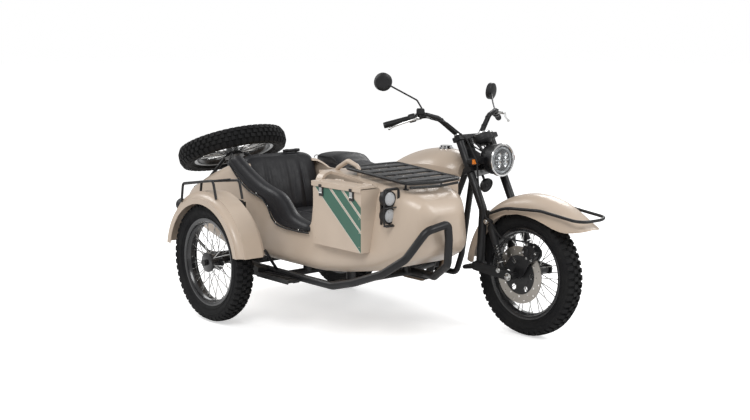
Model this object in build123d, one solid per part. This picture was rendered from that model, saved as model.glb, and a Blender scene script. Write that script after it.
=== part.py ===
from build123d import *
from functools import cache
import math
import os

# Sidecar motorcycle. Millimetres, +X forward, +Y to the rider's left, +Z up.
# Every size below is taken from the point where the rear tyre meets the ground; at the end
# all pieces move together, so that the origin is under the middle of the whole vehicle.

# Driving dimensions
WHEELBASE = 1552
TRACK = 1083
SIDECAR_LEAD = 222
TYRE_R = 330
RIM_FLANGE_R = 242
RIM_HALF_WIDTH = 38
BEAD_R = 229
TREAD_R = 320
AXLE_R = 10
RUNNING_GAP = 0.08
LUGS_PER_SIDE = 20
SPOKES = 36

RAKE_DEG = 27
STEER_POINT = (1110, 0, 940)
FORK_OFFSET = 71
FORK_Y = 118
LINK_Y = 147
FORK_ELBOW_Z = 648
LINK_PIVOT = (WHEELBASE - 240, 350)

TUB_Y = -565
TUB_WALL = 14
BOX_X = (878, 1259)
BOX_Z = (500, 812)
BOX_REACH = (212, 330)
BOX_WALL = 4
LID_GAP = 5
HINGE_X = (960, 1180)

FRAME_TUBE = 34
SIDECAR_TUBE = 40
OUTER_RAIL_Y = -890
INNER_RAIL_Y = -330
RAIL_Z = 300

FRONT_AXLE = (WHEELBASE, TYRE_R)
REAR_AXLE = (0, TYRE_R)
SIDECAR_AXLE = (SIDECAR_LEAD, TYRE_R)
STEER_DIR = (-math.sin(math.radians(RAKE_DEG)), 0, math.cos(math.radians(RAKE_DEG)))

# Lines of the tail deck, which the luggage lid and the spare wheel follow
DECK_REAR = (-450, 660)
DECK_FRONT = (-130, 785)
DECK_SLOPE = math.atan2(DECK_FRONT[1] - DECK_REAR[1], DECK_FRONT[0] - DECK_REAR[0])
DECK = Plane(
    origin=(DECK_REAR[0], TUB_Y, DECK_REAR[1]),
    x_dir=(math.cos(DECK_SLOPE), 0, math.sin(DECK_SLOPE)),
    z_dir=(-math.sin(DECK_SLOPE), 0, math.cos(DECK_SLOPE)),
)
FROM_BASE = (Align.CENTER, Align.CENTER, Align.MIN)
SPARE_ALONG = 170
SPARE_HEIGHT = 166
LID_HINGE = (-128, 14)
LID_ENDS = (-118, 324)
LID_HALF = (150, 185)
LID_OVERLAP = 24
TAIL_X = -600


def deck_height(x):
    """Height of the deck's plane at x."""
    return DECK_REAR[1] + (x - DECK_REAR[0]) * math.tan(DECK_SLOPE)


def bar(points, diameter, bend=None):
    """Round bar along straight runs, with bends of one radius."""
    if bend:
        path = FilletPolyline(*points, radius=bend)
    else:
        path = Polyline(*points)
    start = Plane(origin=path @ 0, z_dir=path % 0)
    return sweep(start * Circle(diameter / 2), path=path, transition=Transition.RIGHT)


def rod(start, end, diameter):
    """Straight round rod between two points."""
    line = Vector(*end) - Vector(*start)
    place = Plane(origin=start, z_dir=line)
    return place * Cylinder(diameter / 2, line.length, align=FROM_BASE)


def cross_rod(x, z, y_from, y_to, diameter):
    """Round rod that lies across the vehicle."""
    return rod((x, y_from, z), (x, y_to, z), diameter)


def block(x_range, y_range, z_range):
    """Box between two values on each axis."""
    size = [high - low for low, high in (x_range, y_range, z_range)]
    place = Pos(x_range[0], y_range[0], z_range[0])
    return place * Box(*size, align=(Align.MIN, Align.MIN, Align.MIN))


def side_plate(points, y_from, y_to, radius=None):
    """Plate with an outline in x and z, from y_from to the greater y_to."""
    place = Plane(origin=(0, y_to, 0), x_dir=(1, 0, 0), z_dir=(0, -1, 0))
    if radius:
        edge = FilletPolyline(*points, radius=radius, close=True)
    else:
        edge = Polyline(*points, close=True)
    return extrude(place * make_face(edge), amount=y_to - y_from)


def ring(profile):
    """Turned piece about the y axis, from a closed outline of radius and y."""
    return revolve(make_face(Polyline(*profile, close=True)), Axis.Y)


def joined(pieces):
    """One shape made of pieces that touch or cross."""
    first, *others = pieces
    return first + others if others else first


def trimmed(shape, *others):
    """The largest solid left when other pieces are cut from a shape."""
    rest = shape - [piece for other in others for piece in (other if isinstance(other, list) else [other])]
    return max(rest.solids(), key=lambda solid: solid.volume)


def polar(radius, degrees, y=0):
    """Point of a wheel whose axis is y."""
    angle = math.radians(degrees)
    return (radius * math.cos(angle), y, radius * math.sin(angle))


def axis_at(z):
    """x of the steering axis at a height."""
    return STEER_POINT[0] + (STEER_POINT[2] - z) * math.tan(math.radians(RAKE_DEG))


def on_axis(along, ahead=0, y=0):
    """Point at a distance up the steering axis and ahead of it, square to it."""
    base = Vector(*STEER_POINT) + Vector(*STEER_DIR) * along
    forward = Vector(math.cos(math.radians(RAKE_DEG)), 0, math.sin(math.radians(RAKE_DEG)))
    point = base + forward * ahead
    return (point.X, y, point.Z)


# Wheels, drawn about the origin with their axis along y


@cache
def tyre():
    """Tyre with staggered cross lugs out to its full radius."""
    half = [
        (BEAD_R + 0.8, 33.5),
        (RIM_FLANGE_R + 1, 33.5),
        (RIM_FLANGE_R + 5, 44),
        (276, 55),
        (300, 55),
        (TREAD_R, 38),
    ]
    outline = half + [(radius, -y) for radius, y in reversed(half)]
    lug_length = 34
    lug_top = math.sqrt(TYRE_R**2 - (lug_length / 2) ** 2)
    pitch = 360 / LUGS_PER_SIDE
    lugs = []
    for side, phase in ((1, 0), (-1, pitch / 2)):
        y_range = (4, 53) if side > 0 else (-53, -4)
        lug = block((298, lug_top), y_range, (-lug_length / 2, lug_length / 2))
        lugs += [Rot(0, phase + pitch * count, 0) * lug for count in range(LUGS_PER_SIDE)]
    return ring(outline) + lugs


def wire_wheel(hub_outline, flange_r, flange_y):
    """Rim, spokes and hub. Spokes cross in pairs from each hub flange."""
    rim_half = [
        (RIM_FLANGE_R, RIM_HALF_WIDTH),
        (RIM_FLANGE_R, RIM_HALF_WIDTH - 4),
        (BEAD_R, RIM_HALF_WIDTH - 4.5),
        (BEAD_R - 3, 18),
        (BEAD_R - 12, 13),
    ]
    rim_inner = [(BEAD_R - 17, 14), (BEAD_R - 8, 20), (BEAD_R - 5, RIM_HALF_WIDTH)]
    outline = rim_half + [(radius, -y) for radius, y in reversed(rim_half)]
    outline += [(radius, -y) for radius, y in reversed(rim_inner)]
    outline += rim_inner
    spokes = []
    for count in range(SPOKES):
        side = 1 if count % 2 else -1
        lean = 14 if count % 4 < 2 else -14
        angle = 360 / SPOKES * count
        root = polar(flange_r - 3, angle - lean, side * flange_y)
        tip = polar(BEAD_R - 14, angle, side * 6)
        line = Vector(*tip) - Vector(*root)
        place = Plane(origin=root, z_dir=line)
        spokes.append(place * extrude(RegularPolygon(2.6, 5), amount=line.length))
    return joined([ring(outline), ring(hub_outline)] + spokes)


def hub_profile(steps):
    """Closed hub outline with the axle bore, from a table of y and radius."""
    bore = AXLE_R + RUNNING_GAP
    return [(bore, steps[0][0])] + [(radius, y) for y, radius in steps] + [(bore, steps[-1][0])]


FRONT_HUB = [(-60, 34), (-34, 34), (-34, 50), (-28, 50), (-28, 30), (28, 30), (28, 50), (34, 50)]
FRONT_HUB += [(34, 26), (60, 26)]
REAR_HUB = [(-50, 40), (-34, 60), (-28, 60), (-28, 42), (28, 42), (28, 60), (34, 60), (34, 45)]
REAR_HUB += [(60, 45), (60, 84), (66, 84), (66, 30), (70, 30)]
SIDECAR_HUB = [(-46, 30), (-34, 38), (-34, 52), (-28, 52), (-28, 34), (28, 34), (28, 52), (34, 52)]
SIDECAR_HUB += [(34, 38), (50, 36)]
DISC_FACE_Y = -60


def brake_disc():
    """Drilled disc on its carrier, against the right face of the front hub."""
    carrier = [(22, DISC_FACE_Y), (60, DISC_FACE_Y), (104, DISC_FACE_Y - 10), (104, DISC_FACE_Y - 15)]
    carrier += [(56, DISC_FACE_Y - 8), (22, DISC_FACE_Y - 8)]
    blade = [(102, DISC_FACE_Y - 10), (150, DISC_FACE_Y - 10), (150, DISC_FACE_Y - 15)]
    blade += [(102, DISC_FACE_Y - 15)]
    holes = []
    for radius, count in ((114, 12), (136, 12)):
        for index in range(count):
            x, _, z = polar(radius, 360 / count * (index + (radius > 120) / 2))
            holes.append(cross_rod(x, z, DISC_FACE_Y - 20, DISC_FACE_Y, 9))
    windows = []
    for index in range(6):
        x, _, z = polar(80, 60 * index)
        windows.append(cross_rod(x, z, DISC_FACE_Y - 20, DISC_FACE_Y + 2, 30))
    return ring(carrier) + ring(blade) - holes - windows


# Front fork and everything that steers


@cache
def fork():
    """Clamps, stem, raked tubes and upright legs of the leading link fork."""
    pieces = []
    for along, thick in ((32, 26), (-150, 30)):
        plane = Plane(origin=on_axis(along), x_dir=(0, 1, 0), z_dir=STEER_DIR)
        half = [(146, -94), (146, -40), (100, -38), (14, 20)]
        outline = half + [(-across, back) for across, back in reversed(half)]
        pieces.append(extrude(plane * make_face(Polyline(*outline, close=True)), amount=thick))
    pieces.append(rod(on_axis(-150), on_axis(58), 2 * 15))
    ahead = FORK_OFFSET * math.cos(math.radians(RAKE_DEG))
    for side in (1, -1):
        y = side * FORK_Y
        elbow_x = axis_at(FORK_ELBOW_Z) + FORK_OFFSET
        top = on_axis(68, ahead, y)
        path = [top, (elbow_x, y, FORK_ELBOW_Z), (LINK_PIVOT[0], y, LINK_PIVOT[1])]
        pieces.append(bar(path, 44, 60))
        pieces.append(cross_rod(*LINK_PIVOT, y - 24, y + 24, 56))
        pieces.append(cross_rod(1362, 590, y - 14, y + 14, 34))
    return joined(pieces)


@cache
def fork_link():
    """Leading link: two arms, the loop behind the tyre, pivot bolts and the axle."""
    pieces = [cross_rod(*FRONT_AXLE, -LINK_Y - 14, LINK_Y + 14, 2 * AXLE_R)]
    pivot_x, pivot_z = LINK_PIVOT
    for side in (1, -1):
        low, high = sorted((side * (LINK_Y - 4), side * (LINK_Y + 8)))
        arm = [
            (pivot_x - 24, pivot_z - 22),
            (WHEELBASE + 26, TYRE_R - 24),
            (WHEELBASE + 26, TYRE_R + 24),
            (1470, TYRE_R + 38),
            (pivot_x - 24, pivot_z + 22),
        ]
        pieces.append(side_plate(arm, low, high, 14))
        pieces.append(cross_rod(*FRONT_AXLE, side * 66, side * (LINK_Y + 6), 34))
        pieces.append(cross_rod(1478, 352, side * 112, side * LINK_Y, 12))
    half = [(pivot_x - 10, LINK_Y, pivot_z - 6), (pivot_x - 90, LINK_Y, pivot_z - 20), (1186, 96, 322)]
    pieces.append(bar(half + [(x, -y, z) for x, y, z in reversed(half)], 22, 30))
    return joined(pieces) - fork_bolt_holes()


def fork_bolt_holes():
    """Nothing of the link stands inside the fork's own pivot bosses."""
    return [cross_rod(*LINK_PIVOT, side * (FORK_Y - 24), side * (FORK_Y + 24), 56) for side in (1, -1)]


def spring_strut(low, high, coil, body):
    """Spring and damper between two eyes, as a few turned steps."""
    line = Vector(*high) - Vector(*low)
    place = Plane(origin=low, z_dir=line)
    length = line.length
    steps = [(0.0, 0.14, body), (0.14, 0.2, coil), (0.2, 0.8, coil * 0.72), (0.8, 0.86, coil)]
    steps.append((0.86, 1.0, body))
    pieces = []
    for start, end, diameter in steps:
        piece = Cylinder(diameter / 2, length * (end - start), align=FROM_BASE)
        pieces.append(place * Pos(0, 0, length * start) * piece)
    turns = 8
    for turn in range(turns):
        height = length * (0.22 + 0.58 * turn / turns)
        ring_piece = Cylinder(coil / 2, length * 0.03, align=FROM_BASE)
        pieces.append(place * Pos(0, 0, height) * ring_piece)
    return joined(pieces)


def front_struts():
    """Two struts between the legs and the link."""
    struts = []
    for side in (1, -1):
        y = side * FORK_Y
        struts.append(spring_strut((1478, y, 352), (1380, y, 590), 42, 24))
    return [trimmed(strut, fork(), fork_link()) for strut in struts]


FENDER_CENTRE = (1608, 288)
FENDER_R = 467
FENDER_HALF = 90
FENDER_SHEET = 4


def fender_band(centre, radius, half, corner, depth, sheet):
    """Deep bent sheet over a wheel, as a full turn about its own centre."""
    def section(r_out, y_out, bend):
        low = radius - depth
        line = [(low, y_out), (r_out - bend, y_out), (r_out, y_out - bend)]
        arcs = [
            Line(line[0], line[1]),
            RadiusArc(line[1], line[2], -bend),
            Line(line[2], (r_out, bend - y_out)),
            RadiusArc((r_out, bend - y_out), (r_out - bend, -y_out), -bend),
            Line((r_out - bend, -y_out), (low, -y_out)),
            Line((low, -y_out), (low, y_out)),
        ]
        return make_face(arcs)
    outer = revolve(section(radius, half, corner), Axis.Y)
    inner = revolve(section(radius - sheet, half - sheet, corner - sheet), Axis.Y)
    band = outer - inner
    return Pos(centre[0], 0, centre[1]) * band


@cache
def front_fender():
    """Front mudguard with its flared tip and the stays down to the fork."""
    band = fender_band(FENDER_CENTRE, FENDER_R, FENDER_HALF, 62, 220, FENDER_SHEET)
    tyre_room = cross_rod(*FRONT_AXLE, -200, 200, 2 * 322)
    below = [(1000, 340), (1560, 340), (1560, 648), (1650, 645), (1830, 602), (1925, 608), (2200, 640)]
    below += [(2200, -400), (1000, -400)]
    fender = band - tyre_room - side_plate(below, -200, 200)
    tip = [(1862, 674), (1912, 640), (1984, 640), (1986, 645), (1916, 647), (1872, 681)]
    pieces = [fender, side_plate(tip, -66, 66)]
    for side in (1, -1):
        pieces.append(block((1318, 1342), sorted((side * 79, side * 100)), (600, 640)))
    return trimmed(joined(pieces), fork())


def fender_bar():
    """Black tube round the front of the mudguard, on four short posts."""
    half = [(1360, 112, 630), (1480, 112, 674), (1716, 112, 686), (1945, 112, 660), (1972, 60, 655)]
    path = half + [(x, -y, z) for x, y, z in reversed(half)]
    pieces = [bar(path, 16, 24)]
    for x, z in ((1480, 674), (1716, 686)):
        for side in (1, -1):
            pieces.append(cross_rod(x, z, side * 82, side * 112, 10))
    for side in (1, -1):
        pieces.append(cross_rod(1366, 632, side * 80, side * 118, 12))
    return trimmed(joined(pieces), front_fender(), fork())


@cache
def brake_caliper():
    """Caliper over the disc and the bracket that holds it to the axle."""
    angle = 56
    body = Pos(*polar(162, angle)) * Rot(0, -angle, 0) * Pos(0, -76, 0) * Box(64, 56, 92)
    slot = cross_rod(0, 0, -82, -64, 2 * 158)
    bracket = [(-26, -20), (26, -20), (118, 120), (80, 150), (-20, 26)]
    plate = side_plate(bracket, -100, -90, 10)
    shape = body - slot + plate
    shape = shape - cross_rod(0, 0, -110, -40, 34)
    return trimmed(Pos(WHEELBASE, 0, TYRE_R) * shape, fork_link())


BAR_HALF = [(1112, 62, 1006), (1062, 192, 1120), (1040, 262, 1140), (911, 430, 1085)]
BAR_TUBE = 22


@cache
def handlebar():
    """Tube of the handlebar and the two risers on the upper clamp."""
    path = [(x, -y, z) for x, y, z in reversed(BAR_HALF)] + BAR_HALF
    pieces = [bar(path, BAR_TUBE, 34)]
    for side in (1, -1):
        pieces.append(rod(on_axis(54, 10, side * 40), (1112, side * 40, 1012), 30))
    return trimmed(joined(pieces), fork())


def grip_line(side, start, end):
    """Two points of the handlebar's last run, by distance from its end."""
    tip = Vector(*BAR_HALF[-1])
    run = (Vector(*BAR_HALF[-2]) - tip).normalized()
    points = [tip + run * start, tip + run * end]
    return [(p.X, side * p.Y, p.Z) for p in points]


def grips():
    """Rubber grips and switch housings."""
    pieces = []
    for side in (1, -1):
        pieces.append(rod(*grip_line(side, -4, 124), 33))
        pieces.append(rod(*grip_line(side, 124.5, 160), 44))
    return [piece - handlebar() for piece in pieces]


@cache
def hand_levers():
    """Perches on the bar with brake and clutch levers in front of the grips."""
    pieces = []
    for side in (1, -1):
        near, far = grip_line(side, 164, 190)
        perch = rod(near, far, 38)
        out = Vector(0.66, side * 0.52, -0.1)
        root = Vector(*far) + out * 52
        arm = rod(far, (root.X, root.Y, root.Z), 20)
        end_near, _ = grip_line(side, 8, 20)
        end = Vector(*end_near) + out * 62
        blade = rod((root.X, root.Y, root.Z), (end.X, end.Y, end.Z), 12)
        pieces.append(trimmed(joined([perch, arm, blade]), handlebar()))
    return pieces


MIRRORS = (
    # side, foot, elbow, head centre
    (-1, (1035, -268, 1146), (1010, -300, 1215), (886, -430, 1311)),
    (1, (1035, 268, 1146), (960, 330, 1180), (850, 430, 1235)),
)


def mirrors():
    """Round mirrors on bent stems."""
    pieces = []
    for side, foot, elbow, head in MIRRORS:
        stem = bar([foot, elbow, head], 9, 20)
        facing = Plane(origin=head, z_dir=(-0.93, -side * 0.3, 0.1))
        dish = facing * Cylinder(48, 22)
        pieces.append(trimmed(stem + dish, handlebar(), joined(hand_levers())))
    return pieces


LAMP_CENTRE = (1290, 0, 904)


@cache
def headlight():
    """Headlight shell, bezel, side ears and the lens recess."""
    shell_steps = [(0, -60), (46, -60), (74, -34), (80, 0), (80, 40), (87, 44), (87, 60), (76, 60)]
    shell_steps += [(76, 46), (0, 46)]
    face = make_face(Polyline(*shell_steps, close=True))
    turned = revolve(face, Axis.Y)
    shell = Pos(*LAMP_CENTRE) * Rot(0, 0, -90) * turned
    pieces = [shell]
    for side in (1, -1):
        low, high = sorted((side * 78, side * 97))
        pieces.append(block((1206, 1310), (low, high), (886, 922)))
    return trimmed(joined(pieces), fork())


def headlight_lens():
    """Clear lens inside the bezel."""
    steps = [(0, 46.5), (75.5, 46.5), (75.5, 56), (50, 62), (0, 64)]
    turned = revolve(make_face(Polyline(*steps, close=True)), Axis.Y)
    return Pos(*LAMP_CENTRE) * Rot(0, 0, -90) * turned


def instrument():
    """Round instrument above the headlight, on a small bracket."""
    tilt = Plane(origin=(1205, 0, 1012), z_dir=(-0.5, 0, 0.87))
    pieces = [tilt * Cylinder(50, 40), rod((1150, 0, 985), (1205, 0, 1005), 22)]
    return trimmed(joined(pieces), fork())


def indicators():
    """Four turn lamps: two beside the headlight, on stalks."""
    pieces = []
    for side in (1, -1):
        stalk = cross_rod(1268, 893, side * 66, side * 130, 12)
        lamp = Pos(1268, side * 146, 900) * Box(36, 40, 36)
        pieces.append(trimmed(joined([stalk, fillet(lamp.edges().filter_by(Axis.X), 12)]), headlight()))
    return pieces


HOSE = [
    (1060, -250, 1118),
    (1160, -225, 1100),
    (1262, -180, 1020),
    (1310, -150, 900),
    (1326, -150, 760),
    (1392, -162, 620),
    (1500, -165, 530),
    (1610, -130, 520),
    (1650, -96, 510),
]


def brake_hose():
    """Front brake hose from the bar to the caliper, with wide bends."""
    path = FilletPolyline(*HOSE, radius=30)
    start = Plane(origin=path @ 0, z_dir=path % 0)
    return trimmed(sweep(start * Circle(4.5), path=path), brake_caliper(), joined(hand_levers()))


# Motorcycle frame, engine and body


@cache
def main_frame():
    """Head tube, backbone, double cradle, seat rails and brackets."""
    head = rod(on_axis(-114), on_axis(26), 58)
    pieces = [head, bar([on_axis(-50), (640, 0, 742), (470, 0, 735)], 46, 60)]
    for side in (1, -1):
        y = side * 108
        cradle = [
            on_axis(-50, 0, side * 16),
            (948, y, 330),
            (905, y, 216),
            (420, y, 216),
            (330, y, 380),
            (372, y, 735),
        ]
        pieces.append(bar(cradle, FRAME_TUBE, 45))
        pieces.append(bar([(600, side * 10, 738), (420, y, 738), (-170, y, 738)], 26, 60))
        pieces.append(bar([(345, y, 470), (100, y, 735)], 24))
        pieces.append(cross_rod(360, 360, side * 90, side * 122, 52))
        pieces.append(rod((100, y, 716), (100, side * 132, 700), 26))
    pieces.append(cross_rod(372, 720, -108, 108, 30))
    pieces.append(cross_rod(-150, 738, -108, 108, 22))
    pieces.append(cross_rod(640, 216, -108, 108, 26))
    bore = rod(on_axis(-200), on_axis(80), 2 * (15 + RUNNING_GAP))
    return joined(pieces) - bore


@cache
def crankcase():
    """Heavy lower half of the engine with its covers."""
    outline = [(470, 234), (800, 234), (830, 330), (800, 470), (560, 480), (470, 420)]
    body = side_plate(outline, -128, 128, 20)
    covers = []
    for side, reach in ((1, 150), (-1, 155)):
        for x, z, radius in ((700, 335, 88), (560, 350, 62)):
            covers.append(cross_rod(x, z, side * 120, side * reach, 2 * radius))
    sprocket = cross_rod(425, 352, 62, 72, 60) + cross_rod(425, 352, 67, 100, 30)
    bridge = block((425, 480), (92, 104), (338, 366))
    return joined([body, sprocket, bridge] + covers) - main_frame()


@cache
def engine_cylinder():
    """Finned upright barrel and head."""
    lean = Plane(origin=(655, 0, 470), z_dir=(0.17, 0, 0.985))
    pieces = [lean * Box(150, 150, 240, align=FROM_BASE)]
    for level in range(10):
        height = 16 + 17 * level
        fin = Box(196, 206, 5, align=FROM_BASE)
        pieces.append(lean * Pos(0, 0, height) * fin)
    cover = Box(140, 150, 36, align=FROM_BASE)
    pieces.append(lean * Pos(0, 0, 200) * cover)
    for side in (1, -1):
        pieces.append(rod((740, side * 42, 622), (772, side * 42, 616), 54))
    engine = joined(pieces)
    return engine - crankcase() - main_frame()


def air_box():
    """Intake behind the barrel and the air box."""
    pieces = [rod((600, 0, 600), (470, 0, 600), 64), block((395, 480), (-86, 86), (500, 690))]
    return joined(pieces) - engine_cylinder() - main_frame()


HEADER = 38


@cache
def exhaust():
    """Twin headers in front of the engine, joined under it, and a silencer on the left."""
    left = [(772, 42, 616), (880, 46, 596), (885, 46, 400), (850, 46, 240), (790, 46, 186)]
    left += [(520, 60, 186), (420, 150, 205), (330, 207, 262), (250, 207, 284)]
    right = [(772, -42, 616), (880, -46, 596), (885, -46, 400), (850, -46, 240), (790, -46, 186)]
    right += [(640, -46, 186), (540, 50, 186)]
    pieces = [bar(left, HEADER, 26), bar(right, HEADER, 26)]
    silencer = Plane(origin=(262, 207, 282), z_dir=(-0.99, 0, 0.13))
    for start, length, radius in ((0, 30, 34), (30, 520, 47), (550, 26, 36)):
        piece = Cylinder(radius, length, align=FROM_BASE)
        pieces.append(silencer * Pos(0, 0, start) * piece)
    pieces.append(rod((40, 207, 340), (20, 118, 640), 14))
    shape = joined(pieces)
    return shape - engine_cylinder() - main_frame() - crankcase()


TANK_SECTIONS = (
    # x, half width, underside, side top, crown
    (505, 84, 770, 780, 812),
    (640, 118, 772, 812, 880),
    (800, 142, 776, 846, 926),
    (930, 146, 778, 856, 938),
    (1040, 118, 784, 846, 918),
    (1092, 72, 796, 832, 880),
)


@cache
def fuel_tank():
    """Rounded tank over the backbone."""
    faces = []
    for x, half, low, side_top, crown in TANK_SECTIONS:
        place = Plane(origin=(x, 0, 0), x_dir=(0, 1, 0), z_dir=(1, 0, 0))
        edges = [
            Line((-half * 0.82, low), (half * 0.82, low)),
            Line((half * 0.82, low), (half, (low + side_top) / 2)),
            Line((half, (low + side_top) / 2), (half * 0.97, side_top)),
            ThreePointArc((half * 0.97, side_top), (0, crown), (-half * 0.97, side_top)),
            Line((-half * 0.97, side_top), (-half, (low + side_top) / 2)),
            Line((-half, (low + side_top) / 2), (-half * 0.82, low)),
        ]
        faces.append(place * make_face(edges))
    shell = loft(faces, ruled=False)
    return shell - main_frame() - rod(on_axis(-160), on_axis(60), 72)


def fuel_cap():
    """Round filler cap on the tank."""
    place = Plane(origin=(925, 0, 928), z_dir=(0.02, 0, 1))
    cap = place * Cylinder(33, 24, align=FROM_BASE)
    rim = place * Cylinder(40, 14, align=FROM_BASE)
    return (cap + rim) - fuel_tank()


def rider_saddle():
    """Stepped dual saddle."""
    outline = [(-150, 752), (-156, 800), (-120, 842), (70, 842), (128, 798), (280, 780), (430, 790)]
    outline += [(500, 812), (498, 776), (440, 752)]
    pad = side_plate(outline, -132, 132)
    long_edges = pad.edges().filter_by(GeomType.LINE).filter_by(lambda e: abs(abs(e.center().Y) - 132) < 1)
    top = [edge for edge in long_edges if edge.center().Z > 778 and abs(edge.center().X) < 470]
    pad = chamfer(top, 12)
    return pad - main_frame() - fuel_tank()


def side_panels():
    """Body panels under the saddle."""
    outline = [(160, 560), (300, 500), (440, 520), (470, 640), (440, 716), (210, 716)]
    panels = []
    for side in (1, -1):
        low, high = sorted((side * 126, side * 136))
        panels.append(side_plate(outline, low, high, 24))
        low, high = sorted((side * 100, side * 126))
        panels[-1] = panels[-1] + block((340, 380), (low, high), (640, 660))
    return [trimmed(panel, main_frame()) for panel in panels]


@cache
def rear_fender():
    """Rear mudguard under the saddle."""
    band = fender_band(REAR_AXLE, 392, 76, 30, 60, FENDER_SHEET)
    below = [(-900, 430), (-320, 430), (-200, 560), (180, 560), (300, 640), (900, 640)]
    below += [(900, -900), (-900, -900)]
    fender = band - side_plate(below, -200, 200) - block((240, 600), (-200, 200), (300, 900))
    hanger = block((-10, 30), (-60, 60), (715, 728))
    for side in (1, -1):
        low, high = sorted((side * 56, side * 112))
        hanger = hanger + block((-10, 30), (low, high), (717, 729))
    return trimmed(fender + hanger, main_frame())


PLATE_HALF = 95


def tail_lamps():
    """Rear lamp with a bare plate on the bike, and the round lamp of the sidecar."""
    lamp = block((-236, -170), (-60, 60), (742, 782))
    plate = side_plate([(-250, 560), (-246, 560), (-227, 734), (-231, 734)], -PLATE_HALF, PLATE_HALF)
    arm = block((-236, -208), (-20, 20), (640, 744))
    bike = trimmed(joined([lamp, plate, arm]), main_frame(), rear_fender())
    stalk = rod((-100, -975, 520), (-232, -975, 576), 16)
    round_lamp = rod((-282, -975, 580), (-222, -975, 578), 70)
    return [bike, trimmed(stalk + round_lamp, sidecar_fender())]


@cache
def rear_swingarm():
    """Rear swinging arm with the rear axle."""
    pieces = [cross_rod(360, 360, -88, 88, 36), cross_rod(*REAR_AXLE, -124, 124, 2 * AXLE_R)]
    for side in (1, -1):
        pieces.append(rod((360, side * 98, 360), (0, side * 98, TYRE_R), 34))
        pieces.append(cross_rod(*REAR_AXLE, side * 76, side * 118, 46))
        pieces.append(cross_rod(18, 352, side * 98, side * 130, 14))
    chain_room = chain_loop(8, 62 - 6, 72 + 6)
    return joined(pieces) - main_frame() - chain_room


def suspension_struts():
    """Two struts of the motorcycle and one of the sidecar wheel."""
    struts = []
    for side in (1, -1):
        struts.append(spring_strut((18, side * 132, 352), (100, side * 132, 700), 46, 24))
    struts.append(spring_strut((262, -955, 352), (290, -955, 640), 40, 24))
    carriers = [main_frame(), rear_swingarm(), sidecar_frame(), sidecar_arm()]
    return [trimmed(strut, carriers) for strut in struts]


def chain_loop(grow, y_from, y_to):
    """Closed band over both sprockets, grown outward and inward."""
    def hull(radius_rear, radius_front):
        rear = cross_rod(*REAR_AXLE, y_from, y_to, 2 * radius_rear)
        front = cross_rod(425, 352, y_from, y_to, 2 * radius_front)
        distance = math.hypot(425, 22)
        lean = math.asin((radius_rear - radius_front) / distance)
        line = math.atan2(22, 425)
        corners = []
        for sign in (1, -1):
            angle = line + sign * (math.pi / 2 - lean)
            corners.append((radius_rear * math.cos(angle), TYRE_R + radius_rear * math.sin(angle)))
            corners.append((425 + radius_front * math.cos(angle), 352 + radius_front * math.sin(angle)))
        outline = [corners[0], corners[1], corners[3], corners[2]]
        return rear + front + side_plate(outline, y_from, y_to)
    return hull(99 + grow, 40 + grow) - hull(90 - grow, 30 - grow)


def drive_chain():
    """Chain from the engine to the rear sprocket, as one loop."""
    return chain_loop(0, 62, 72) - crankcase()


PEG_RUBBER = {1: (174, 234), -1: (-234, -174)}


def foot_controls():
    """Rider's pegs with their pedals."""
    pieces = []
    for side in (1, -1):
        peg = cross_rod(520, 262, side * 108, side * 234, 22) + cross_rod(520, 262, *PEG_RUBBER[side], 30)
        pedal = rod((524, side * 160, 262), (664, side * 186, 250), 12)
        pad = cross_rod(668, 250, side * 172, side * 214, 20)
        hanger = block((504, 536), sorted((side * 96, side * 118)), (222, 272))
        pieces.append(joined([peg, pedal, pad, hanger]))
    cut = [main_frame(), crankcase(), exhaust()]
    return [trimmed(piece, cut) for piece in pieces]


# Sidecar


BUMPER = [
    (-130, OUTER_RAIL_Y, RAIL_Z),
    (1030, OUTER_RAIL_Y, RAIL_Z),
    (1200, OUTER_RAIL_Y, 345),
    (1390, -872, 415),
    (1510, -828, 500),
    (1560, -740, 632),
    (1566, -606, 654),
    (1556, -588, 572),
    (1520, -560, 440),
    (1300, -440, 330),
    (1120, INNER_RAIL_Y, RAIL_Z),
    (-130, INNER_RAIL_Y, RAIL_Z),
]
CROSS_TUBES_X = (-60, 222, 640, 1010)


@cache
def sidecar_frame():
    """Sidecar chassis: one loop of tube with the bumper, cross tubes and the links to the bike."""
    radii = [120, 200, 90, 60, 60, 24, 24, 60, 60, 120]
    path = FilletPolyline(*BUMPER, radius=radii)
    start = Plane(origin=path @ 0, z_dir=path % 0)
    pieces = [sweep(start * Circle(SIDECAR_TUBE / 2), path=path)]
    for x in CROSS_TUBES_X:
        pieces.append(cross_rod(x, RAIL_Z, OUTER_RAIL_Y, INNER_RAIL_Y, SIDECAR_TUBE - 4))
        for shift in (-190, 190):
            pieces.append(rod((x, TUB_Y + shift, RAIL_Z), (x, TUB_Y + shift, 380), 46))
    for start_point, end_point, diameter in (
        ((1010, INNER_RAIL_Y, RAIL_Z), (935, -100, 300), 30),
        ((330, INNER_RAIL_Y, RAIL_Z), (345, -100, 330), 30),
        ((900, INNER_RAIL_Y, RAIL_Z), (1035, -70, 590), 26),
        ((300, INNER_RAIL_Y, RAIL_Z), (345, -104, 470), 26),
    ):
        pieces.append(rod(start_point, end_point, diameter))
    pieces.append(cross_rod(470, RAIL_Z, OUTER_RAIL_Y, -938, 44))
    pieces.append(bar([(310, OUTER_RAIL_Y, RAIL_Z), (310, -926, 340), (290, -926, 652)], 28, 20))
    pieces.append(cross_rod(290, 640, -926, -942, 30))
    pieces.append(bar([(290, -926, 652), (268, -982, 672)], 14))
    pieces.append(rod((560, OUTER_RAIL_Y, RAIL_Z), (574, -985, 430), 16))
    pieces.append(rod((-110, OUTER_RAIL_Y, RAIL_Z), (-125, -985, 412), 16))
    return trimmed(joined(pieces), main_frame(), hull_solid(0), sidecar_fender())


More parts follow.
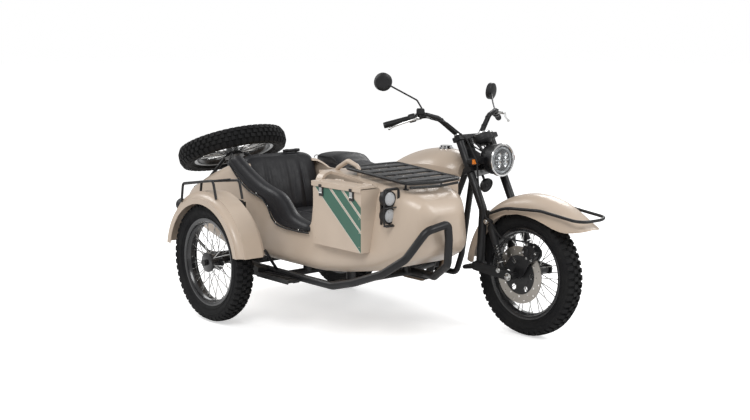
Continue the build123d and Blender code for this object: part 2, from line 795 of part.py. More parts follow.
@cache
def sidecar_arm():
    """Trailing arm of the sidecar wheel with its axle and knuckle."""
    outline = [(448, 276), (490, 276), (490, 322), (222, 356), (196, 352), (196, 306), (226, 302)]
    arm = side_plate(outline, -972, -940, 8)
    axle = cross_rod(*SIDECAR_AXLE, -TRACK - 62, -940, 2 * AXLE_R)
    knuckle = cross_rod(*SIDECAR_AXLE, -1028, -965, 44)
    pin = cross_rod(262, 352, -972, -944, 14)
    nut = cross_rod(*SIDECAR_AXLE, -TRACK - 66, -TRACK - 50, 34)
    return joined([arm, axle, knuckle, pin, nut]) - sidecar_frame()


HULL = (
    # x, underside, top, half width low, half width high, corner radius
    (TAIL_X, 520, deck_height(TAIL_X), 170, 160, 30),
    (DECK_REAR[0], 450, DECK_REAR[1], 240, 228, 50),
    (DECK_FRONT[0], 382, DECK_FRONT[1], 288, 272, 60),
    (60, 352, 835, 302, 284, 60),
    (800, 345, 862, 312, 270, 70),
    (1259, 398, 822, 292, 214, 80),
    (1400, 450, 795, 240, 190, 80),
    (1480, 488, 760, 180, 146, 70),
    (1516, 530, 700, 110, 96, 50),
)


@cache
def hull_solid(inset):
    """Outer body of the tub, or the room inside its walls."""
    faces = []
    for x, low, top, half_low, half_top, corner in HULL:
        step = 0
        if x == HULL[0][0]:
            step = inset
        if x == HULL[-1][0]:
            step = -inset
        place = Plane(origin=(x + step, TUB_Y, 0), x_dir=(0, 1, 0), z_dir=(1, 0, 0))
        wide, narrow = half_low - inset, half_top - inset
        points = [(-wide, low + inset), (wide, low + inset), (narrow, top - inset), (-narrow, top - inset)]
        faces.append(place * make_face(FilletPolyline(*points, radius=max(corner - inset, 10), close=True)))
    return loft(faces, ruled=True)


COCKPIT_X = (118, 812)
BULKHEAD_X = (38, 52)


@cache
def sidecar_tub():
    """Hollow body with the cockpit, the luggage room and recesses for the two boxes."""
    room = hull_solid(TUB_WALL)
    wall = block(BULKHEAD_X, (TUB_Y - 400, TUB_Y + 400), (300, 900))
    shell = hull_solid(0) - (room - wall)
    top = Pos(sum(COCKPIT_X) / 2, TUB_Y, 760) * Box(COCKPIT_X[1] - COCKPIT_X[0], 440, 400)
    shell = shell - fillet(top.edges().filter_by(Axis.Z), 60)
    dip = [(118, 960), (150, 832), (390, 723), (529, 699), (636, 592), (812, 562), (812, 960)]
    shell = shell - side_plate(dip, TUB_Y - 400, TUB_Y - 215)
    inner_dip = [(118, 960), (150, 832), (240, 790), (720, 780), (812, 850), (812, 960)]
    shell = shell - side_plate(inner_dip, TUB_Y + 215, TUB_Y + 400)
    rear, front = LID_ENDS[0] + LID_OVERLAP, LID_ENDS[1] - LID_OVERLAP
    shell = shell - deck_plate(rear, front, -45, 45, [half - LID_OVERLAP for half in LID_HALF])
    for side in (1, -1):
        shell = shell - box_block(side, 0, BOX_Z[0], 900)
        lid_room = sorted((TUB_Y + side * (BOX_REACH[0] - 8), TUB_Y + side * 400))
        shell = shell - block((BOX_X[0] - 10, BOX_X[1] + 10), lid_room, (BOX_Z[1] - 6, 960))
    for side in (1, -1):
        boss = lid_hinge(40, 8, side * 40)
        foot = DECK * Pos(LID_HINGE[0], side * 40, 6) * Box(10, 40, 16)
        shell = shell + boss + foot
    return shell + lid_hinge(120, 4)


def deck_plate(rear, front, low, high, halves):
    """Tapered plate in the deck's own directions, from its rear end to its front end."""
    corners = [(rear, -halves[0]), (front, -halves[1]), (front, halves[1]), (rear, halves[0])]
    face = make_face(FilletPolyline(*corners, radius=18, close=True))
    return DECK * Pos(0, 0, low) * extrude(face, amount=high - low)


def lid_hinge(length, radius, across=0):
    """Round bar on the hinge line of the luggage lid."""
    return DECK * Pos(LID_HINGE[0], across, LID_HINGE[1]) * Rot(90, 0, 0) * Cylinder(radius, length)


def box_block(side, inset, low, high):
    """Room of a side box, smaller by an inset on each side."""
    y_near, y_far = (TUB_Y + side * BOX_REACH[0], TUB_Y + side * BOX_REACH[1])
    y_low, y_high = sorted((y_near, y_far))
    x_low, x_high = BOX_X
    return block((x_low + inset, x_high - inset), (y_low + inset, y_high - inset), (low, high))


@cache
def luggage_box(side):
    """Open steel box with two latches' catches on its outer face."""
    shell = box_block(side, 0, *BOX_Z) - box_block(side, BOX_WALL, BOX_Z[0] + BOX_WALL, 900)
    hinge_y = TUB_Y + side * (BOX_REACH[0] + 6)
    hinge_z = BOX_Z[1] + LID_GAP + 6
    for x in HINGE_X:
        for end in (-1, 1):
            knuckle = rod((x + end * 12, hinge_y, hinge_z), (x + end * 34, hinge_y, hinge_z), 11)
            leg = Pos(x + end * 23, hinge_y, BOX_Z[1] - 2) * Box(22, 5, 20)
            shell = shell + knuckle + leg
        shell = shell + rod((x - 34, hinge_y, hinge_z), (x + 34, hinge_y, hinge_z), 5)
    return shell


def box_lid(side):
    """Lid with its turned lip and hinge knuckles."""
    x_low, x_high = BOX_X
    hinge_y = TUB_Y + side * (BOX_REACH[0] + 6)
    hinge_z = BOX_Z[1] + LID_GAP + 6
    near = TUB_Y + side * (BOX_REACH[0] + 14)
    far = TUB_Y + side * (BOX_REACH[1] + 8)
    x_range = (x_low - 4, x_high + 4)
    base = BOX_Z[1] + LID_GAP
    plate = block(x_range, sorted((near, far)), (base, base + 8))
    lip = block(x_range, sorted((far, far - side * 3)), (BOX_Z[1] - 12, base + 2))
    shell = plate + lip
    bore = rod((x_low, hinge_y, hinge_z), (x_high, hinge_y, hinge_z), 5 + 2 * RUNNING_GAP)
    for x in HINGE_X:
        barrel = rod((x - 11, hinge_y, hinge_z), (x + 11, hinge_y, hinge_z), 11)
        leaf = Pos(x, hinge_y + side * 6, hinge_z - 2) * Box(22, 12, 6)
        shell = shell + (barrel + leaf - bore)
    return shell


def cockpit_trim():
    """Padded roll along the cockpit edge."""
    y_out = TUB_Y - 288
    points = [
        (150, y_out + 14, 850),
        (392, y_out, 738),
        (532, y_out - 2, 712),
        (640, y_out - 4, 606),
        (806, y_out - 4, 578),
    ]
    roll = bar(points, 26, 30)
    return roll - sidecar_tub()


@cache
def sidecar_seat():
    """Seat cushion, with the support it rests on."""
    cushion = block((250, 720), (TUB_Y - 235, TUB_Y + 235), (470, 590))
    cushion = fillet(cushion.edges(), 28)
    support = block((270, 700), (TUB_Y - 200, TUB_Y + 200), (358, 475))
    return (cushion + support) - sidecar_tub()


def sidecar_backrest():
    """Backrest against the bulkhead."""
    outline = [(56, 470), (240, 470), (226, 600), (150, 872), (110, 884), (56, 880)]
    pad = side_plate(outline, TUB_Y - 246, TUB_Y + 246, 12)
    return pad - sidecar_tub() - sidecar_seat()


SIDECAR_FENDER_R = 390
SIDECAR_FENDER_Y = -1075


@cache
def sidecar_fender():
    """Mudguard of the sidecar wheel."""
    band = fender_band(SIDECAR_AXLE, SIDECAR_FENDER_R, 90, 34, 66, FENDER_SHEET)
    band = Pos(0, SIDECAR_FENDER_Y, 0) * band
    below = [(-400, 398), (200, 398), (200, 402), (900, 402), (900, -500), (-400, -500)]
    return band - side_plate(below, -1300, -800)


def fender_rail():
    """Tube rail on the sidecar mudguard: two bars on four legs."""
    pieces = []
    for y, front_x in ((-1135, 330), (-1015, 400)):
        rear = (-10, y, 640)
        points = [rear, (10, y, 745), (front_x - 14, y, 788), (front_x + 14, y, 690)]
        pieces.append(bar(points, 14, 24))
    pieces.append(rod((10, -1135, 742), (10, -1015, 742), 14))
    pieces.append(rod((300, -1135, 784), (300, -1015, 784), 12))
    return trimmed(joined(pieces), sidecar_fender())


RACK_X = (950, 1425)
RACK_Z = (884, 846)


def rack_height(x):
    """Height of the sloping rack's tubes."""
    share = (x - RACK_X[0]) / (RACK_X[1] - RACK_X[0])
    return RACK_Z[0] + share * (RACK_Z[1] - RACK_Z[0])


def nose_rack():
    """Luggage rack over the nose, with slats and posts."""
    half = 178
    x_rear, x_front = RACK_X
    corners = [
        (x_rear, TUB_Y - half, rack_height(x_rear)),
        (x_front, TUB_Y - half, rack_height(x_front)),
        (x_front + 40, TUB_Y, rack_height(x_front) + 4),
        (x_front, TUB_Y + half, rack_height(x_front)),
        (x_rear, TUB_Y + half, rack_height(x_rear)),
    ]
    pieces = [bar(corners, 17, 26)]
    for x in (x_rear + 6, 1060, 1165, 1270, 1370):
        pieces.append(rod((x, TUB_Y - half, rack_height(x)), (x, TUB_Y + half, rack_height(x)), 13))
    for shift in (-62, 62):
        rear_end = (x_rear, TUB_Y + shift, rack_height(x_rear) - 3)
        pieces.append(rod(rear_end, (x_front + 8, TUB_Y + shift, rack_height(x_front) - 3), 11))
    for x, shift in ((1000, -130), (1000, 130), (1350, -120), (1350, 120)):
        pieces.append(rod((x, TUB_Y + shift, rack_height(x + 5)), (x, TUB_Y + shift, 760), 12))
    return trimmed(joined(pieces), hull_solid(0), sidecar_tub())


def grab_handle():
    """Passenger's handle at the rear of the nose."""
    y = TUB_Y - 140
    points = [(832, y, 800), (838, y, 868), (930, y, 916), (1010, y, 890), (1030, y, 820)]
    return trimmed(bar(points, 24, 30), sidecar_tub(), hull_solid(0))


def fog_lamps():
    """Two lamps one above the other on a bracket, with a wire guard."""
    y = -800
    pieces = [block((1300, 1312), (y - 8, y + 60), (640, 800))]
    pieces.append(rod((1306, y + 20, 720), (1306, -700, 720), 20))
    for z in (772, 690):
        pieces.append(rod((1306, y, z), (1330, y, z), 36))
        pieces.append(rod((1328, y, z), (1362, y, z), 74))
    for across in (-44, 44):
        pieces.append(rod((1372, y + across, 640), (1372, y + across, 822), 7))
    for z, foot in ((646, 650), (731, 731), (816, 792)):
        pieces.append(rod((1372, y - 46, z), (1372, y + 46, z), 6))
        pieces.append(rod((1373, y + 4, z), (1306, y + 4, foot), 5))
    return trimmed(joined(pieces), sidecar_tub(), hull_solid(0), luggage_box(-1))


def footboard():
    """Step plate beside the tub."""
    plate = block((500, 780), (-985, -904), (284, 296))
    edge = block((500, 780), (-990, -985), (278, 302))
    ribs = [block((520 + 40 * count, 530 + 40 * count), (-980, -912), (294, 300)) for count in range(6)]
    brackets = [block((x, x + 30), (-930, -892), (272, 290)) for x in (540, 720)]
    return joined([plate, edge] + ribs + brackets) - sidecar_frame()


# Luggage lid and spare wheel, on the sloping tail deck


@cache
def trunk_lid():
    """Lid of the luggage room with its hinge knuckle and handle."""
    lid = deck_plate(*LID_ENDS, 7, 17, LID_HALF)
    barrel = lid_hinge(38, 8)
    leaf = DECK * Pos(LID_HINGE[0] + 10, 0, LID_HINGE[1] - 1) * Box(20, 38, 8)
    bore = lid_hinge(60, 4 + RUNNING_GAP)
    handle = DECK * Pos(312, 0, 22) * Box(10, 90, 12)
    return lid + handle + (barrel + leaf - bore)


def spare_carrier():
    """Tube stand between the lid and the spare wheel, with its stud and nut."""
    top = SPARE_HEIGHT - 46
    pieces = [
        DECK * Pos(SPARE_ALONG, 0, top - 8) * Cylinder(70, 8, align=FROM_BASE),
        DECK * Pos(SPARE_ALONG, 0, top - 8) * Cylinder(AXLE_R, 112, align=FROM_BASE),
        DECK * Pos(SPARE_ALONG, 0, SPARE_HEIGHT + 50) * Cylinder(18, 14, align=FROM_BASE),
    ]
    for along in (-1, 1):
        for across in (-1, 1):
            foot = DECK.from_local_coords((SPARE_ALONG + along * 115, across * 140, 17))
            head = DECK.from_local_coords((SPARE_ALONG + along * 45, across * 45, top - 4))
            pieces.append(rod(tuple(foot), tuple(head), 20))
            pad = DECK * Pos(SPARE_ALONG + along * 115, across * 140, 17)
            pieces.append(pad * Cylinder(20, 6, align=FROM_BASE))
    return joined(pieces) - trunk_lid()


SPARE_PLACE = DECK.location * Pos(SPARE_ALONG, 0, SPARE_HEIGHT) * Rot(90, 0, 0)


@cache
def spare_wheel_rim():
    """Rim and hub shared by the sidecar wheel and the spare."""
    return wire_wheel(hub_profile(SIDECAR_HUB), 52, 31)


def at_axle(place, shape, y=0):
    """A wheel piece moved to its axle."""
    return Pos(place[0], y, place[1]) * shape


def front_rim():
    """Front wheel's rim, spokes and hub."""
    return at_axle(FRONT_AXLE, wire_wheel(hub_profile(FRONT_HUB), 50, 31))


def rear_rim():
    """Rear wheel's rim, spokes, hub and sprocket."""
    return at_axle(REAR_AXLE, wire_wheel(hub_profile(REAR_HUB), 60, 31))


NODES = {
    "main_frame": main_frame,
    "crankcase": crankcase,
    "engine_cylinder": engine_cylinder,
    "air_box": air_box,
    "exhaust": exhaust,
    "fuel_tank": fuel_tank,
    "fuel_cap": fuel_cap,
    "rider_saddle": rider_saddle,
    "side_panels": side_panels,
    "rear_fender": rear_fender,
    "tail_lamps": tail_lamps,
    "rear_swingarm": rear_swingarm,
    "suspension_struts": suspension_struts,
    "drive_chain": drive_chain,
    "foot_controls": foot_controls,
    "fork": fork,
    "fork_link": fork_link,
    "front_struts": front_struts,
    "front_fender": front_fender,
    "fender_bar": fender_bar,
    "brake_caliper": brake_caliper,
    "handlebar": handlebar,
    "grips": grips,
    "hand_levers": hand_levers,
    "mirrors": mirrors,
    "headlight": headlight,
    "headlight_lens": headlight_lens,
    "instrument": instrument,
    "indicators": indicators,
    "brake_hose": brake_hose,
    "front_tyre": lambda: at_axle(FRONT_AXLE, tyre()),
    "front_rim": front_rim,
    "front_disc": lambda: at_axle(FRONT_AXLE, brake_disc()),
    "rear_tyre": lambda: at_axle(REAR_AXLE, tyre()),
    "rear_rim": rear_rim,
    "sidecar_tyre": lambda: at_axle(SIDECAR_AXLE, tyre(), -TRACK),
    "sidecar_rim": lambda: at_axle(SIDECAR_AXLE, spare_wheel_rim(), -TRACK),
    "sidecar_frame": sidecar_frame,
    "sidecar_arm": sidecar_arm,
    "sidecar_tub": sidecar_tub,
    "cockpit_trim": cockpit_trim,
    "sidecar_seat": sidecar_seat,
    "sidecar_backrest": sidecar_backrest,
    "sidecar_fender": sidecar_fender,
    "fender_rail": fender_rail,
    "footboard": footboard,
    "nose_rack": nose_rack,
    "grab_handle": grab_handle,
    "fog_lamps": fog_lamps,
    "outer_box": lambda: luggage_box(-1),
    "inner_box": lambda: luggage_box(1),
    "outer_box_lid": lambda: box_lid(-1),
    "inner_box_lid": lambda: box_lid(1),
    "trunk_lid": trunk_lid,
    "spare_carrier": spare_carrier,
    "spare_tyre": lambda: SPARE_PLACE * tyre(),
    "spare_rim": lambda: SPARE_PLACE * spare_wheel_rim(),
}


def solids_of(shape):
    """All solids of a piece, which may be a list."""
    pieces = shape if isinstance(shape, (list, tuple)) else [shape]
    return [solid for piece in pieces for solid in piece.solids()]


def main():
    """Make every piece and write it, moved so that the origin is under the middle."""
    os.makedirs("parts", exist_ok=True)
    solids = {name: solids_of(make()) for name, make in NODES.items()}
    boxes = [solid.bounding_box() for pieces in solids.values() for solid in pieces]
    x_low, x_high = min(box.min.X for box in boxes), max(box.max.X for box in boxes)
    y_low, y_high = min(box.min.Y for box in boxes), max(box.max.Y for box in boxes)
    middle = ((x_low + x_high) / 2, (y_low + y_high) / 2)
    print("origin", middle, "length", x_high - x_low, "width", y_high - y_low)
    for name, pieces in solids.items():
        moved = Compound([Pos(-middle[0], -middle[1], 0) * solid for solid in pieces])
        export_step(moved, f"parts/{name}.step")


if __name__ == "__main__":
    main()
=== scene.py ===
import math

import bmesh
import bpy
from mathutils import Matrix, Vector, noise


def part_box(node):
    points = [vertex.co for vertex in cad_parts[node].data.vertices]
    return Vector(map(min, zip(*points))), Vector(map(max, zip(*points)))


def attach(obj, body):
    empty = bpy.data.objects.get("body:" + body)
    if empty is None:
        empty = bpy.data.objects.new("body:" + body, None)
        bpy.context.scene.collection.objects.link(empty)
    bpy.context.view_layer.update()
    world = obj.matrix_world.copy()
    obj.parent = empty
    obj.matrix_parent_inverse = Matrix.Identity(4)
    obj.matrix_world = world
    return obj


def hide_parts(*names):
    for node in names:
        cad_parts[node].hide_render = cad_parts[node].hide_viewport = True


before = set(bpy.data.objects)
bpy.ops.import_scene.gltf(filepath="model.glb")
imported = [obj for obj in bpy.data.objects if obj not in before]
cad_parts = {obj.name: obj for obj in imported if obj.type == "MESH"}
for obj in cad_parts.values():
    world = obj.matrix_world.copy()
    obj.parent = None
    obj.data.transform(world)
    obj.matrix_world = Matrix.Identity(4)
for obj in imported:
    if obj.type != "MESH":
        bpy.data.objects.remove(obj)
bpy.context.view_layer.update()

# Sizes below are millimetres from the point where the rear tyre meets the ground: x forward,
# y to the rider's left, z up. The frame tells where that point is.
rear_low, rear_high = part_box("rear_tyre")
GROUND = Vector(((rear_low[0] + rear_high[0]) / 2, (rear_low[1] + rear_high[1]) / 2, 0))

WHEELBASE = 1552
TRACK = 1083
LEAD = 222
TYRE_R = 330
RAKE = math.radians(27)
STEER_POINT = Vector((1110, 0, 940))
STEER_DIR = Vector((-math.sin(RAKE), 0, math.cos(RAKE)))
STEER_AHEAD = Vector((math.cos(RAKE), 0, math.sin(RAKE)))
FORK_Y = 118
TUB_Y = -565
BOX_X = (878, 1259)
BOX_Z = (500, 812)
BOX_REACH = (212, 330)
DECK_REAR = Vector((-450, TUB_Y, 660))
DECK_FRONT = Vector((-130, TUB_Y, 785))
HEADLIGHT = Vector((1290, 0, 904))
DIAL = Vector((1205, 0, 1012))
DIAL_FACING = Vector((-0.5, 0, 0.87)).normalized()
FOG_LAMPS = ((1362, -800, 772), (1362, -800, 690))
SIDECAR_TAIL_LAMP = (-282, -975, 580)
AHEAD, LEFT, UP = (1, 0, 0), (0, 1, 0), (0, 0, 1)
WHITE = (1, 1, 1, 1)


def metres(point):
    """A place in the frame, in metres, from millimetres."""
    return GROUND + Vector(point) / 1000


def add_object(name, data):
    """Object with its data, in the scene."""
    made = bpy.data.objects.new(name, data)
    bpy.context.collection.objects.link(made)
    return made


# Camera, at the photograph's place

CAMERA_PLACE = (5474, -4411, 1552)
CAMERA_LOOK = (-0.7512, 0.6426, -0.1506)
CAMERA_LENS = 54.92


def make_camera():
    """Camera fitted to the three wheels of the photograph."""
    camera = add_object("camera", bpy.data.cameras.new("camera"))
    camera.data.lens = CAMERA_LENS
    camera.data.sensor_width = 36
    camera.location = metres(CAMERA_PLACE)
    camera.rotation_euler = Vector(CAMERA_LOOK).to_track_quat("-Z", "Y").to_euler()
    bpy.context.scene.camera = camera


# Materials


def nodes_of(material):
    """Node tree of a fresh material with its shader."""
    material.use_nodes = True
    tree = material.node_tree
    return tree, tree.nodes["Principled BSDF"]


def set_inputs(tree, node, inputs):
    """Give a node's inputs their values, or link them to the outputs given in place of values."""
    for socket, value in inputs.items():
        if isinstance(value, bpy.types.NodeSocket):
            tree.links.new(value, node.inputs[socket])
        else:
            node.inputs[socket].default_value = value
    return node


def new_node(tree, kind, inputs):
    """Node of a kind with its inputs."""
    return set_inputs(tree, tree.nodes.new(kind), inputs)


def add_noise(tree, scale, detail=4.0):
    """Noise texture in the piece's own space, in cycles per metre."""
    place = tree.nodes.new("ShaderNodeTexCoord").outputs["Object"]
    inputs = {"Scale": scale, "Detail": detail, "Vector": place}
    return new_node(tree, "ShaderNodeTexNoise", inputs).outputs["Fac"]


def spread(tree, value, low, high, start=0.3, end=0.7):
    """Map a texture value onto a range."""
    inputs = {"Value": value, "From Min": start, "From Max": end, "To Min": low, "To Max": high}
    return new_node(tree, "ShaderNodeMapRange", inputs).outputs["Result"]


def blend_colours(tree, factor, first, second):
    """Colour between two, by a texture value."""
    node = tree.nodes.new("ShaderNodeMix")
    node.data_type = "RGBA"
    first, second = ((*colour, 1) if isinstance(colour, tuple) else colour for colour in (first, second))
    return set_inputs(tree, node, {0: factor, 6: first, 7: second}).outputs[2]


def add_bump(tree, shader, height, strength, distance):
    """Bump from a texture value; distance in metres."""
    bump = new_node(tree, "ShaderNodeBump", {"Height": height, "Strength": strength, "Distance": distance})
    tree.links.new(bump.outputs["Normal"], shader.inputs["Normal"])


SLOW_CYCLES = 7
UNEVEN_CYCLES = 38
PAINT_GRAIN = (420, 0.05, 0.0002)


def surface(name, colour, shade, rough, metal=0.0, coat=0.0, grain=(900, 0.12, 0.0002), spec=0.5):
    """Finish with a slow change of colour, uneven gloss and a fine grain.

    shade is the darker colour of the slow change, rough the range of roughness, and grain the
    scale in cycles per metre, the strength and the depth in metres of the bump.
    """
    material = bpy.data.materials.new(name)
    tree, shader = nodes_of(material)
    slow = spread(tree, add_noise(tree, SLOW_CYCLES, 6), 0, 1)
    set_inputs(tree, shader, {
        "Base Color": blend_colours(tree, slow, colour, shade),
        "Roughness": spread(tree, add_noise(tree, UNEVEN_CYCLES, 5), *rough),
        "Metallic": metal,
        "Coat Weight": coat,
        "Coat Roughness": 0.12,
        "Specular IOR Level": spec,
    })
    add_bump(tree, shader, add_noise(tree, grain[0], 2), grain[1], grain[2])
    return material


def worn_metal(name, colour, shade, rough, edge, metal=0.0, coat=0.0, grain=(1500, 0.2, 0.0002)):
    """Finish whose convex edges are rubbed to another colour."""
    material = surface(name, colour, shade, rough, metal, coat, grain)
    tree, shader = nodes_of(material)
    shader.inputs["Specular IOR Level"].default_value = 0.35
    base = shader.inputs["Base Color"].links[0].from_socket
    geometry = tree.nodes.new("ShaderNodeNewGeometry")
    rubbed = spread(tree, geometry.outputs["Pointiness"], 0, 0.55, 0.53, 0.62)
    tree.links.new(blend_colours(tree, rubbed, base, edge), shader.inputs["Base Color"])
    return material


BEIGE = surface("sand_beige_paint", (0.50, 0.405, 0.32), (0.47, 0.38, 0.30), (0.30, 0.42), coat=0.25,
                grain=PAINT_GRAIN)
BLACK = worn_metal("black_powder_coat", (0.010, 0.010, 0.011), (0.007, 0.007, 0.008), (0.32, 0.46),
                   (0.035, 0.035, 0.035), grain=(1800, 0.35, 0.0002))
GLOSS_BLACK = surface("gloss_black_enamel", (0.010, 0.010, 0.011), (0.014, 0.014, 0.015), (0.16, 0.28),
                      coat=0.5)
PLASTIC = surface("black_plastic", (0.010, 0.010, 0.011), (0.015, 0.015, 0.016), (0.42, 0.6),
                  grain=(2600, 0.4, 0.0002), spec=0.3)
TYRE = surface("tyre_rubber", (0.008, 0.008, 0.009), (0.014, 0.014, 0.014), (0.62, 0.82),
               grain=(700, 0.3, 0.0004), spec=0.16)
RUBBER = surface("black_rubber", (0.009, 0.009, 0.010), (0.014, 0.014, 0.014), (0.5, 0.66),
                 grain=(1400, 0.3, 0.0003), spec=0.25)
SILVER = surface("bright_steel", (0.66, 0.66, 0.65), (0.52, 0.52, 0.51), (0.16, 0.30), metal=1.0)
ALLOY = surface("cast_alloy", (0.50, 0.50, 0.49), (0.40, 0.40, 0.39), (0.30, 0.46), metal=1.0,
                grain=(1200, 0.3, 0.0003))
CHROME = surface("chrome", (0.78, 0.78, 0.78), (0.70, 0.70, 0.70), (0.05, 0.12), metal=1.0,
                 grain=(300, 0.02, 0.0001))
HEADER = surface("browned_header", (0.30, 0.22, 0.15), (0.17, 0.12, 0.09), (0.24, 0.40), metal=1.0)
ENGINE = surface("black_casting", (0.030, 0.030, 0.031), (0.018, 0.018, 0.019), (0.42, 0.62),
                 grain=(1500, 0.6, 0.0004))
VINYL = surface("black_vinyl", (0.007, 0.007, 0.009), (0.011, 0.011, 0.013), (0.36, 0.50),
                grain=(1900, 0.5, 0.0004), spec=0.3)
GREEN = surface("dark_green_stripe", (0.028, 0.115, 0.075), (0.024, 0.100, 0.066), (0.30, 0.42), coat=0.25,
                grain=PAINT_GRAIN)
PALE = surface("pale_pinstripe", (0.62, 0.62, 0.56), (0.58, 0.58, 0.52), (0.30, 0.42), coat=0.25)
AMBER = surface("amber_lens", (0.75, 0.22, 0.02), (0.65, 0.18, 0.02), (0.12, 0.2))
RED = surface("red_lens", (0.42, 0.012, 0.010), (0.35, 0.010, 0.010), (0.12, 0.2))
LAMP_WHITE = surface("lamp_white", (0.44, 0.45, 0.46), (0.36, 0.37, 0.38), (0.22, 0.35))


def make_glass():
    """Clear lamp glass that keeps the shadow soft."""
    material = bpy.data.materials.new("clear_glass")
    tree, shader = nodes_of(material)
    set_inputs(tree, shader, {
        "Base Color": (0.9, 0.93, 0.95, 1),
        "Transmission Weight": 0.92,
        "IOR": 1.35,
        "Roughness": spread(tree, add_noise(tree, 60), 0.02, 0.07),
    })
    add_bump(tree, shader, add_noise(tree, 240), 0.04, 0.0002)
    return material


GLASS = make_glass()


# Shapes


def frame_for(axis):
    """Two directions square to an axis, with which it makes a right-handed set."""
    axis = Vector(axis).normalized()
    helper = Vector((0, 0, 1)) if abs(axis.z) < 0.9 else Vector((1, 0, 0))
    across = helper.cross(axis).normalized()
    return across, axis.cross(across), axis


def rounded_path(points, bend, closed=False, steps=5, pieces=0):
    """Straight runs with rounded corners; each arc has the given number of pieces, if there is one."""
    points = [Vector(point) for point in points]
    count = len(points)
    path = []
    for index, corner in enumerate(points):
        if not closed and index in (0, count - 1):
            path.append(corner)
            continue
        before = points[index - 1] - corner
        after = points[(index + 1) % count] - corner
        turn = math.pi - before.angle(after)
        if turn < 0.02 or bend <= 0:
            path.append(corner)
            continue
        reach = min(bend * math.tan(turn / 2), 0.47 * before.length, 0.47 * after.length)
        start, end = corner + before.normalized() * reach, corner + after.normalized() * reach
        parts = pieces or max(2, int(steps * turn))
        for step in range(parts + 1):
            share = step / parts
            path.append(start.lerp(corner, share).lerp(corner.lerp(end, share), share))
    return path


def flat_path(points, bend, steps=5, pieces=0):
    """Closed flat outline with rounded corners, as pairs."""
    path = rounded_path([(a, b, 0) for a, b in points], bend, True, steps, pieces)
    return [(point.x, point.y) for point in path]


def drum(radius, half, inward, edge):
    """Profile of a round piece with chamfered ends: how far in and how far along each chamfer goes."""
    return [(radius - inward, -half), (radius, edge - half), (radius, half - edge), (radius - inward, half)]


